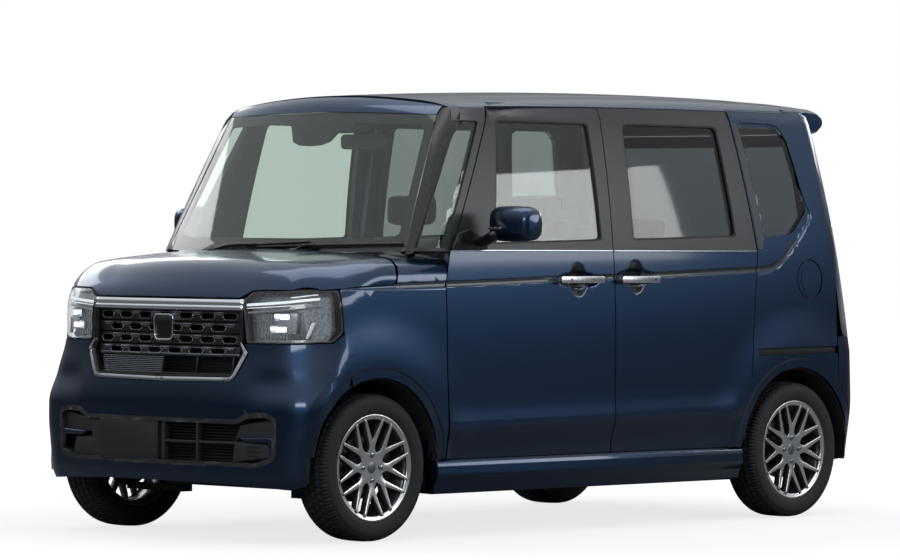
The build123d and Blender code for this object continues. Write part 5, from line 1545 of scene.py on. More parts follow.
# ---------------------------------------------------------------- wheels
@dataclass
class Wheels:
    """Tyres with cut tread, eight-spoke wheels, discs and wheel nuts."""

    pitches: int = 60
    # Half of the tyre's section as (radius, distance from the middle, row of tread blocks or 0).
    tyre_half: Table = (
        (0.1965, 0.0600, 0), (0.1990, 0.0690, 0), (0.2040, 0.0735, 0), (0.2070, 0.0760, 0), (0.2085, 0.0755, 0),
        (0.2125, 0.0790, 0), (0.2250, 0.0812, 0), (0.2400, 0.0822, 0), (0.2520, 0.0812, 0), (0.2605, 0.0792, 0),
        (0.2613, 0.0780, 0), (0.2680, 0.0755, 1), (0.2745, 0.0700, 2), (0.2780, 0.0630, 2), (0.2797, 0.0530, 2),
        (0.2800, 0.0500, 2), (0.2735, 0.0488, 0), (0.2735, 0.0432, 0), (0.2803, 0.0420, 3), (0.2810, 0.0280, 3),
        (0.2811, 0.0190, 3), (0.2740, 0.0178, 0), (0.2740, 0.0112, 0), (0.2812, 0.0100, 4), (0.2812, 0.0000, 4))
    # Depth of the cross cuts in each row of blocks, and how far they lean per metre across.
    cut_depth: tuple[float, ...] = (0.0, 0.0025, 0.0055, 0.0045, 0.0035)
    cut_lean: tuple[float, ...] = (0.0, 1.2, 1.2, 3.0, 3.0)
    # Half of one forked spoke, flat: hub side, crotch, fork root, fork tips and the fork's inner root.
    sector: Table = ((0.0230, 0.0554), (0.0150, 0.074), (0.0160, 0.088), (0.0543, 0.1836), (0.0440, 0.1862),
                     (0.0, 0.104))

    def build(self) -> None:
        """Builds the four wheels."""
        for end, axle in (("front", FRONT_AXLE), ("rear", REAR_AXLE)):
            for side in Side:
                self.wheel(f"{end}_{side.hand}", (axle, side.value * WHEEL_Y, WHEEL_Z), side)

    def wheel(self, hand: str, hub: Sequence[float], side: Side) -> None:
        """Builds one wheel about the origin, its face towards +y, and moves it to its hub.

        Args:
            hand: plain name of the wheel's place.
            hub: its centre.
            side: side of the car.
        """
        for name, slot, node, form, finishes in (
                ("tyre_tread", "rubber", (f"tyre_{hand}",), self.tyre(), (RUBBER,)),
                ("alloy_wheel", "alloy", (f"wheel_{hand}",), self.spokes(), (MACHINED, CAST_GREY)),
                ("wheel_rim", "alloy", (), self.rim(), (MACHINED, CAST_GREY)),
                ("wheel_nuts", "chrome", (), self.nuts(), (DARK_CHROME, DEEP_BLACK, CAST_GREY)),
                ("brake_disc", "cast", (), self.disc(), (IRON, CAST_IRON))):
            if side is Side.RIGHT:
                form.flipped()
            bmesh.ops.translate(form.bm, vec=hub, verts=form.bm.verts[:])
            Dress(slot, f"wheel_{hand}", node).piece(f"{name}_{hand}", form, *finishes)

    def tyre(self) -> Form:
        """Tyre ring with slanted cross cuts between the blocks."""
        profile = [*self.tyre_half, *((r, -d, row) for r, d, row in reversed(self.tyre_half[:-1])),
                   (0.1930, -0.058, 0), (0.1930, 0.058, 0)]
        # Stations of one pitch, each with the rows of blocks that are cut there.
        stations = ((0.0, ()), (0.035, (1, 2, 4)), (0.11, (1, 2, 4)), (0.145, ()), (0.5, ()), (0.535, (2, 3)),
                    (0.61, (2, 3)), (0.645, ()))
        part = bmesh.new()
        rings = []
        for pitch in range(self.pitches):
            for station, cut in stations:
                places = []
                for r, d, row in profile:
                    reach = r - (self.cut_depth[row] if row in cut else 0.0)
                    angle = math.tau * (pitch + station + d * self.cut_lean[row]) / self.pitches
                    places.append((reach * math.cos(angle), d, reach * math.sin(angle)))
                rings.append([part.verts.new(place) for place in places])
        for before, after in zip(rings, rings[1:] + rings[:1]):
            for j in range(len(before)):
                k = (j + 1) % len(before)
                part.faces.new((before[j], before[k], after[k], after[j]))
        return Form().take(part)

    def rim(self) -> Form:
        """Rim barrel with its bright lip."""
        lip = [(0.1975, 0.0705), (0.2045, 0.0735), (0.2052, 0.0700), (0.2035, 0.0665), (0.1975, 0.0640),
               (0.1925, 0.0610), (0.1885, 0.0560), (0.1835, 0.0600), (0.1840, 0.0655), (0.1870, 0.0690),
               (0.1925, 0.0690)]
        barrel = [(0.1925, 0.061), (0.1885, 0.040), (0.1760, 0.015), (0.1740, -0.040), (0.1860, -0.060),
                  (0.2030, -0.0715), (0.2045, -0.0680), (0.1895, -0.0570), (0.1785, -0.0390), (0.1805, 0.013),
                  (0.1920, 0.036), (0.1960, 0.058)]
        return Form().turned(lip, steps=96).turned(barrel, steps=72, material=1)

    @staticmethod
    def face_height(r: float) -> float:
        """How far the wheel's face stands out at a radius."""
        return 0.0575 + 0.0165 * (r / 0.19) ** 1.6 - 0.004 * math.exp(-((r - 0.03) / 0.02) ** 2)

    def above_face(self, vert: bmesh.types.BMVert) -> float:
        """How far a corner stands out of the wheel's face."""
        return vert.co.y - self.face_height(math.hypot(vert.co.x, vert.co.z))

    def spokes(self) -> Form:
        """Eight forked spokes with a machined face and dark flanks."""
        part = bmesh.new()
        a, b, c, d, e, f = (Vector(point) for point in self.sector)
        axis = [Vector((0.0, corner.y)) for corner in (a, b, c)]
        half = [(Vector((0.0, 0.0)), a, axis[0]), (axis[0], a, b, axis[1]), (axis[1], b, c, axis[2]),
                (axis[2], c, f)]
        half += [(c.lerp(d, k / 6), c.lerp(d, (k + 1) / 6), f.lerp(e, (k + 1) / 6), f.lerp(e, k / 6))
                 for k in range(6)]
        for turn in range(8):
            cos, sin = math.cos(math.radians(45 * turn)), math.sin(math.radians(45 * turn))
            for flat in half:
                for sign in (1, -1):
                    part.faces.new([part.verts.new((sign * u * cos - v * sin, 0.0, sign * u * sin + v * cos))
                                    for u, v in flat])
        bmesh.ops.remove_doubles(part, verts=part.verts[:], dist=2e-4)
        bmesh.ops.dissolve_degenerate(part, edges=part.edges[:], dist=1e-5)
        bmesh.ops.recalc_face_normals(part, faces=part.faces[:])
        thicken(part, (0.0, 0.001, 0.0))
        for vert in part.verts:
            r = math.hypot(vert.co.x, vert.co.z)
            deep = 0.016 + 0.012 * float(smooth(0.05, 0.12, r)) * (r < 0.2)
            vert.co.y = self.face_height(r) - (0.0 if vert.co.y > 0.0005 else deep)
        bmesh.ops.recalc_face_normals(part, faces=part.faces[:])
        bevel(part, [e for e in part.edges if len(e.link_faces) == 2 and e.calc_face_angle(0.0) > SHARP
                     and min(self.above_face(v) for v in e.verts) > -0.001], 0.0016)
        form = Form().take(part)
        for face in form.bm.faces:
            face.material_index = 0 if face.normal.y > 0.86 else 1
        return form

    def nuts(self) -> Form:
        """Four wheel nuts in their seats round a plain centre cap."""
        base, top, circle = self.face_height(0.02), self.face_height(0.049), 0.049
        cap = [(0.0, 0.0045), (0.020, 0.0040), (0.0255, 0.0020), (0.0275, -0.0010), (0.0275, -0.006),
               (0.0, -0.006)]
        collar = [(0.0278, -0.005), (0.0278, 0.0015), (0.0300, 0.0020), (0.0315, 0.0008), (0.0315, -0.005)]
        seat = [(0.0090, -0.002), (0.0090, 0.0008), (0.0125, 0.0012), (0.0135, -0.002)]
        form = Form().turned(cap, (0, base, 0), steps=48, material=2, closed=False)
        form.turned(collar, (0, base, 0), steps=48, material=1)
        for k in range(4):
            x, z = circle * math.cos(math.radians(90 * k)), circle * math.sin(math.radians(90 * k))
            form.turned(seat, (x, top, z), steps=24, material=1)
            form.prism(arc(x, z, 0.0092, 0, 300, 5), "y", top - 0.004, top + 0.007, 0.0014)
        return form

    def disc(self) -> Form:
        """Vented brake disc and its hat."""
        form = Form()
        for low, high in ((-0.0135, -0.0095), (-0.0055, -0.0015)):
            form.turned([(0.074, low), (0.1195, low), (0.1205, (low + high) / 2), (0.1195, high), (0.074, high)])
        form.turned([(0.0, 0.028), (0.060, 0.028), (0.066, 0.024), (0.068, -0.002), (0.076, -0.002),
                     (0.076, -0.0135), (0.0, -0.0135)], steps=48, material=1, closed=False)
        for k in range(30):
            vane = Form().block((0.078, -0.0100, -0.0018), (0.118, -0.0050, 0.0018), 0.0005, 1, segments=1)
            form.joined(vane.turn((0, 0, 0), "y", 12 * k).bm)
        return form


# ---------------------------------------------------------------- small outside parts
@dataclass
class SmallParts:
    """Handles, mirrors, cowl, wipers, belt strips and what lies under the bonnet."""

    # Width and size of each section of the mirror's shell.
    shell_sections: Table = ((0.779, 0.52), (0.783, 0.72), (0.792, 0.88), (0.81, 0.965), (0.85, 1.0),
                             (0.90, 0.995), (0.94, 0.965), (0.964, 0.89), (0.978, 0.76), (0.9835, 0.55))
    mirror_at: tuple[float, float] = (0.629, 1.2085)
    seam: float = 1.1985
    seam_slope: float = 0.12

    def build(self) -> None:
        """Builds the small parts of both sides."""
        for side in Side:
            door = f"door_{side.hand}"
            self.handle(side, "front_door_handle", door, f"door_handle_{side.hand}", (-0.035, 0.226), 0.20,
                        POCKETS[0])
            self.handle(side, "sliding_door_handle", "body", "sliding_door_handles", (-0.373, -0.140), 0.03,
                        POCKETS[1])
            self.mirror_shell(side, door)
            self.mirror_fittings(side, door)
            self.strips(side, door)
            self.liners(side)
        self.cowl()
        self.wipers()
        self.bay()

    def handle(self, side: Side, name: str, body: str, node: str, span: tuple[float, float], lock: float,
               pocket: Sequence[float]) -> None:
        """Bar handle over its pocket, with a gloss black sheet in the pocket as painted shade.

        Args:
            side: side of the car.
            name: plain name without the side.
            body: body that it rides on.
            node: construction node that it stands for.
            span: both ends of the bar along the car.
            lock: how far the lock lies from the bar's rear end.
            pocket: middle of the pocket and half its length.
        """
        start, end = span
        bar = rounded([(start, 0.9795, 0.012), (end, 0.9795, 0.012), (end, 1.0065, 0.014), (start, 1.0065, 0.014)],
                      5)
        form = Form().prism(bar, "y", 0.7455, 0.7585, 0.0052)
        for x in (start + 0.024, end - 0.024):
            form.block((x - 0.018, 0.714, 0.982), (x + 0.018, 0.748, 1.004), 0.004)
        barrel = [(0.0, 0.0), (0.0052, 0.0), (0.0058, -0.0012), (0.0058, -0.004), (0.0, -0.004)]
        form.turned(barrel, (start + lock, 0.7592, 0.994), steps=20, material=1, closed=False)
        rim = []
        for angle in (math.tau * k / 32 for k in range(32)):
            reach = 0.056 * (1.0 if abs(math.sin(angle)) < 0.5 else 0.92)
            rim.append((pocket[0] + reach * math.cos(angle), pocket[1] - 0.001 + 0.066 * math.sin(angle)))
        # Gloss black sheet laid in the pocket: painted shade of the recess behind the bar.
        cup = Sheet(FLANK, rim, step=(0.008, 0.008), inset=-0.0007)
        Dress("gloss", body, (), 0.003).sided(side, f"handle_cup_{name}", cup.form(), GLOSS_BLACK)
        Dress("chrome", body, (node,)).sided(side, name, form, SATIN, DEEP_BLACK)

    def loop(self, y: float, size: float) -> list[tuple[float, float, float]]:
        """Cross-section of the mirror shell at a width, shrunk by size."""
        points = []
        for c, s in arc(0.0, 0.0, 1.0, 0, 351, 39):
            x = (0.064 if c > 0 else 0.054) * math.copysign(abs(c) ** 0.62, c)
            z = (0.0715 if s > 0 else 0.066) * math.copysign(abs(s) ** 0.62, s)
            points.append((self.mirror_at[0] + x * size, y, self.mirror_at[1] + z * size + 0.004 * (size - 1)))
        return points

    def mirror_shell(self, side: Side, door: str) -> None:
        """Two-tone mirror shell with a fine seam between its colours."""
        shell = Form().loft([self.loop(y, size) for y, size in self.shell_sections])
        bm = shell.bm
        for height in (self.seam, self.seam - 0.003):
            bmesh.ops.bisect_plane(bm, geom=bm.verts[:] + bm.edges[:] + bm.faces[:], plane_co=(0, 0, height),
                                   plane_no=(self.seam_slope, 0, 1), dist=1e-5)
        for face in bm.faces:
            middle = face.calc_center_median()
            face.material_index = 0 if middle.z + self.seam_slope * middle.x > self.seam else 1
        for vert in bm.verts:
            if -0.0045 < vert.co.z + self.seam_slope * vert.co.x - self.seam < 0.0015:
                vert.co.x += (self.mirror_at[0] - vert.co.x) * 0.03
                vert.co.y += (0.88 - vert.co.y) * 0.02
        Dress("painted", door, (f"mirror_{side.hand}",)).sided(side, "mirror_shell", shell, PAINT, GLOSS_BLACK)

    @staticmethod
    def mirror_fittings(side: Side, door: str) -> None:
        """Foot and arm, glass and turn lamp of a mirror."""
        base = rounded([(0.838, 1.1085, 0.008), (0.628, 1.1085, 0.02), (0.640, 1.150, 0.02),
                        (0.735, 1.190, 0.03), (0.800, 1.172, 0.02)], 5)
        foot = Form().prism(base, "y", 0.706, 0.737, 0.006)
        foot.loft([[(0.665 + 0.042 * c, y, z + 0.019 * s) for c, s in arc(0.0, 0.0, 1.0, 0, 337.5, 15)]
                   for y, z in ((0.715, 1.138), (0.745, 1.142), (0.775, 1.154), (0.80, 1.166), (0.83, 1.170))])
        Dress("gloss", door).sided(side, "mirror_foot", foot, GLOSS_BLACK)
        glass = rounded([(0.800, 1.158, 0.02), (0.960, 1.158, 0.03), (0.966, 1.262, 0.03),
                         (0.798, 1.264, 0.02)], 6)
        pane = Form().prism(glass, "x", 0.5735, 0.5765, 0.0008)
        Dress("chrome", door).sided(side, "mirror_glass", pane, CHROME)
        lamp = Form()
        for y in (0.792, 0.816, 0.840):
            lamp.block((0.686, y, 1.1885), (0.6948, y + 0.020, 1.1985), 0.0016)
        Dress("lamp", door).sided(side, "mirror_turn_lamp", lamp, BOWL)

    def strips(self, side: Side, door: str) -> None:
        """Belt strips under the glass, and gloss black lines in the groove as painted shade."""
        for name, body, u0, u1, lean in (("belt_strip_front", door, 0.8265, -0.1205, 0.004),
                                         ("belt_strip_rear", "body", -0.1295, -1.025, 0.0)):
            outline = [(u0, 1.1035), (u1, 1.1035), (u1, 1.1105), (u0 - lean, 1.1105)]
            belt = Sheet(FLANK, outline, step=(0.08, 0.005), inset=-0.002)
            Dress("chrome", body, (), 0.006, 0.0012).sided(side, name, belt.form(), DARK_CHROME)
        # Gloss black lines along the belt groove: painted shade of the crease.
        for tag, low, high in (("lower", -0.0088, -0.0008), ("upper", 0.0008, 0.0088)):
            for spot, start, end, body, wrap in (("door", 0.853, -0.1185, door, FLANK),
                                                 ("slide", -0.131, -1.013, "body", FLANK),
                                                 ("quarter", -1.021, -1.34, "body", FLANK),
                                                 ("wing", 1.139, 0.868, "body", WING)):
                run = self.span(start, end)
                outline = offset_line(run, low) + offset_line(run, high)[::-1]
                strip = Sheet(wrap, outline, step=(0.05, 0.012), inset=-0.0012)
                Dress("gloss", body, (), 0.002, 0.0006).sided(
                    side, f"groove_line_{tag}_{spot}", strip.form(), GLOSS_BLACK)

    @staticmethod
    def span(start: float, end: float) -> list[tuple[float, float]]:
        """Part of the belt groove between two places along the car."""
        line = GROOVE[:12]
        xs, zs = zip(*reversed(line))
        ends = [(x, float(np.interp(x, xs, zs))) for x in (start, end)]
        return [ends[0], *(p for p in line if end < p[0] < start), *(ends[1:] if end > -1.2 else [])]

    @staticmethod
    def liners(side: Side) -> None:
        """Black liners inside the wheel arches; the rear ones have an inner wall."""
        for end, axle, inner in (("front", FRONT_AXLE, 0.45), ("rear", REAR_AXLE, 0.51)):
            outer = wheel_arc(axle, 0.352, -8, 188)
            form = Form().prism(outer + wheel_arc(axle, 0.346, 188, -8), "y", inner, 0.712, 0.0015)
            if end == "rear":
                form.prism(outer, "y", inner - 0.005, inner + 0.002)
            Dress("trim").sided(side, f"wheel_arch_liner_{end}", form, UNDERSEAL)

    @staticmethod
    def cowl() -> None:
        """Louvred cowl between bonnet and glass."""
        half = [(1.118, 0.0), (1.1165, 0.35), (1.1135, 0.62), (1.104, 0.665), (1.005, 0.672), (1.035, 0.62),
                (1.082, 0.34), (1.098, 0.0)]
        sheet = Sheet(BONNET, mirrored_points(half, 1), step=(0.02, 0.05), inset=0.022)
        Dress("trim", "body", ("wipers",), 0.012, 0.002).piece("cowl_panel", sheet.form(), GRAINED)
        louvres = Form()
        for k in range(46):
            y = -0.56 + k * 0.0249
            louvres.block((1.089, y, 1.078), (1.111, y + 0.005, 1.0915), 0.0012)
        Dress("trim").piece("cowl_louvres", louvres, DEEP_BLACK)

    @staticmethod
    def wipers() -> None:
        """Two wipers that rest along the foot of the glass."""
        form = Form()
        for pivot, start, end, z0, z1 in ((-0.330, -0.335, 0.205, 1.112, 1.1365),
                                          (0.140, -0.115, 0.615, 1.113, 1.1325)):
            run = np.array([(start + (end - start) * k / 14, z0 + (z1 - z0) * k / 14) for k in range(15)])
            for depth, radius, sides, material in ((-0.010, 0.0052, 12, 0), (-0.0035, 0.0026, 8, 1)):
                form.tube(SCREEN.drape(run, depth), radius, sides, material)
            x, y, z = SCREEN.drape(np.array([((start + end) / 2, (z0 + z1) / 2)]), -0.019)[0]
            foot = float(SCREEN.drape(np.array([(pivot, 1.10)]), -0.014)[0, 0])
            form.tube([(foot, pivot, 1.1005), (foot + 0.002, pivot + 0.04, 1.108),
                       ((foot + x) / 2 + 0.002, (pivot + y) / 2, z + 0.002), (x, y, z)], 0.0062)
            hub = [(0.0, 0.012), (0.008, 0.0115), (0.0115, 0.008), (0.012, -0.012), (0.0, -0.012)]
            form.turned(hub, (foot, pivot, 1.099), (0.35, 0, 1), 24, closed=False)
        Dress("trim").piece("wiper_arms_and_blades", form, WIPER, SEAL)

    @staticmethod
    def bay() -> None:
        """Bulkhead, rails and beam behind the nose."""
        wall = [(0.93, 1.06), (0.95, 1.06), (0.975, 0.60), (0.80, 0.245), (0.775, 0.245), (0.952, 0.606)]
        form = Form().prism(wall, "y", -0.58, 0.58, 0.002)
        form.block((0.93, -0.61, 1.04), (1.085, 0.61, 1.068), 0.004)
        for right in (0.30, -0.36):
            form.block((0.80, right, 0.246), (1.60, right + 0.06, 0.328), 0.006)
        form.block((1.56, -0.56, 0.40), (1.60, 0.56, 0.47), 0.006)
        Dress("painted").piece("front_bulkhead_and_rails", form, UNDERSEAL)


# ---------------------------------------------------------------- tail
@dataclass
class Tail:
    """Tailgate with glass and spoiler, rear corners and rear bumper."""

    window: Table = ((0.530, 1.132, 0.02), (0.505, 1.578, 0.03), (-0.505, 1.578, 0.03), (-0.530, 1.132, 0.02))
    pocket: Table = ((0.185, 0.705, 0.012), (0.185, 0.885, 0.02), (-0.185, 0.885, 0.02),
                     (-0.185, 0.705, 0.012))

    def build(self) -> None:
        """Builds the pieces of the rear."""
        self.gate()
        self.gate_glass()
        self.spoiler()
        self.bumper()
        for side in Side:
            self.corner(side)

    def gate(self) -> None:
        """Tailgate skin, plate recess, blank plate and grip bar."""
        outline = mirrored_points([(0.0, 0.5265), (0.57, 0.5265, 0.02), (0.5962, 0.56, 0.02), (0.5962, 1.5985),
                                   (0.0, 1.5985)])
        lines = [[(-0.59, z), (0.59, z)] for z in (0.688, 0.694, 1.075, 1.085)]
        lines += [[(s * u, 0.70), (s * u, 0.89)] for u in (0.215, 0.245) for s in (1, -1)]
        skin = Sheet(TAIL, outline, holes=(self.window, self.pocket), lines=lines, step=(0.04, 0.04))
        Dress("painted", "tailgate", ("tailgate",), PANEL_WALL, 0.0025).piece(
            "tailgate_skin", skin.form(), PAINT, TRIM)
        recess = Sheet(TAIL, grown(self.pocket, 0.004), step=(0.06, 0.06), inset=0.030)
        Dress("trim", "tailgate", (), 0.004).piece("plate_recess", recess.form(), GRAINED)
        plate = Form().prism(rounded(box(-0.165, 0.165, 0.712, 0.877, 0.008), 4), "x", -1.6570, -1.6545, 0.0008)
        Dress("trim", "tailgate").piece("blank_rear_plate", plate.turn((-1.655, 0.0, 0.795), "y", 2.0), PLATE)
        bar = rounded([(-0.20, 0.893, 0.008), (0.20, 0.893, 0.008), (0.195, 0.915, 0.008),
                       (-0.195, 0.915, 0.008)], 4)
        grip = Form().prism(bar, "x", -1.655, -1.628, 0.004)
        Dress("chrome", "tailgate").piece("tailgate_grip_bar", grip, PAINT)

    def gate_glass(self) -> None:
        """Pane of the tailgate with its printed border and rubber lip."""
        pane = Sheet(TAIL, grown(self.window, 0.014), step=(0.06, 0.06), inset=0.006)
        Dress("privacy", "tailgate", ("tailgate_glass",), 0.0035).piece(
            "tailgate_glass_pane", pane.form(), PRIVACY)
        border = Sheet(TAIL, grown(self.window, 0.012), holes=(rounded(grown(self.window, -0.03)),),
                       step=(0.06, 0.06), inset=0.0102)
        Dress("gloss", "tailgate", (), 0.0015).piece("tailgate_glass_border", border.form(), DEEP_BLACK)
        lip = Sheet(TAIL, grown(self.window, 0.001), holes=(rounded(grown(self.window, -0.006)),),
                    step=(0.08, 0.08), inset=0.0015)
        Dress("rubber", "tailgate", (), 0.005, 0.001).piece("tailgate_glass_seal", lip.form(), SEAL)

    @staticmethod
    def spoiler() -> None:
        """Roof spoiler on top of the tailgate with its stop lamp."""
        sections = []
        half = (0.598, 0.594, 0.58, 0.55, 0.5, 0.4, 0.2)
        for y in (*(-y for y in half), 0.0, *reversed(half)):
            end = max(0.0, (abs(y) - 0.55) / 0.048) ** 2
            drop, back = 0.012 * end, 0.018 * end
            crown = 1.7590 - 0.1265 * y * y - drop
            section = [(x, crown - 0.0185185 * (x + 0.8) ** 2 - fall)
                       for x, fall in ((-1.3065, 0.0), (-1.40, 0.00032), (-1.50, 0.0016), (-1.56, 0.004))]
            tip = crown - 0.0185185 * 0.64 - 0.014
            section += [(x + back, z) for x, z in ((-1.600, tip), (-1.6145, tip - 0.008), (-1.6195, tip - 0.022),
                                                   (-1.6195, 1.632 + drop), (-1.6120, 1.6225 + drop))]
            section += [(x, z + drop) for x, z in ((-1.568, 1.6015), (-1.50, 1.6025), (-1.40, 1.6065),
                                                   (-1.385, 1.6085), (-1.3065, 1.669))]
            sections.append([(x, y, z) for x, z in section])
        Dress("painted", "tailgate", (), 0.0, 0.002).piece("roof_spoiler", Form().loft(sections), PAINT)
        bar = rounded([(-0.16, 1.656, 0.006), (0.16, 1.656, 0.006), (0.157, 1.676, 0.006),
                       (-0.157, 1.676, 0.006)], 4)
        stop = Form().prism(bar, "x", -1.6205, -1.6135, 0.0018)
        Dress("redlamp", "tailgate").piece("high_stop_lamp", stop, RED_LENS)

    @staticmethod
    def corner(side: Side) -> None:
        """Rear pillar skin, what carries the tail lamp, and the roof corner beside the spoiler."""
        edge = TAIL.trace([(-1.5385, 0.73, 1.2165), (-1.5385, 0.73, 1.30), (-1.4025, 0.65, 1.692),
                           (-1.3065, 0.63, 1.694)])
        skin = Sheet(TAIL, [(0.6012, 1.2165), *edge, (edge[-1][0], 1.703), (0.6012, 1.703)], step=(0.015, 0.03))
        Dress("painted", wall=0.02, edge=0.0022).sided(side, "rear_pillar", skin.form(), PAINT, TRIM)
        section = [(-1.52, 0.70), (-1.645, 0.70), (-1.64, 0.75), (-1.562, 1.21), (-1.50, 1.21)]
        housing = Form().prism(section, "y", 0.604, 0.690, 0.004)
        Dress("trim").sided(side, "tail_lamp_housing", housing, DEEP_BLACK)
        rim = ROOF.flat(0.0, 0.634, 1.694)[1]
        cap = Sheet(ROOF, [(-1.3065, 0.6012), (-1.3065, rim), (-1.43, rim - 0.012), (-1.50, 0.6012)],
                    step=(0.03, 0.01))
        Dress("painted", wall=0.012).sided(side, "roof_rear_corner", cap.form(), PAINT)

    @staticmethod
    def bumper() -> None:
        """Rear bumper wrapped round to the wheel arches."""
        arch = TAIL.trace([(x, 0.72, z) for x, z in reversed(wheel_arc(REAR_AXLE, ARCH, 139.9, 176))])
        half = [(0.0, 0.2225), (0.50, 0.2225), (0.62, 0.225), (TAIL.flat(-1.6175, 0.70, 0.24)[0], 0.2455),
                *arch, *TAIL.trace([(-1.5402, 0.72, 0.64), (-1.5402, 0.72, 0.7505)]), (0.6012, 0.7505),
                (0.6012, 0.5225), (0.0, 0.5225)]
        lines = [TAIL.trace([(x, 0.72, z) for x, z in wheel_arc(REAR_AXLE, r, 115, 185)])
                 for r in (0.3755, 0.3785, 0.382, 0.392)]
        lines += [[(-u, v) for u, v in line] for line in lines]
        skin = Sheet(TAIL, mirrored_points(half), lines=lines, step=(0.03, 0.02))
        Dress("painted", "body", ("rear_bumper",), 0.012, 0.003).piece(
            "rear_bumper_skin", skin.form(), PAINT, UNDERSEAL)
        for side in Side:
            shine = Sheet(TAIL, box(0.52, 0.655, 0.345, 0.375, 0.006), step=(0.02, 0.03), inset=-0.0005)
            Dress("redlamp", wall=0.004, edge=0.0012).sided(side, "rear_reflector", shine.form(), RED_LENS)
        insert = mirrored_points([(0.0, 0.2275), (0.42, 0.2275, 0.02), (0.46, 0.30, 0.02), (0.0, 0.30)])
        lower = Sheet(TAIL, insert, inset=-0.0005)
        Dress("trim", wall=0.006, edge=0.0015).piece("rear_bumper_insert", lower.form(), GRAINED)


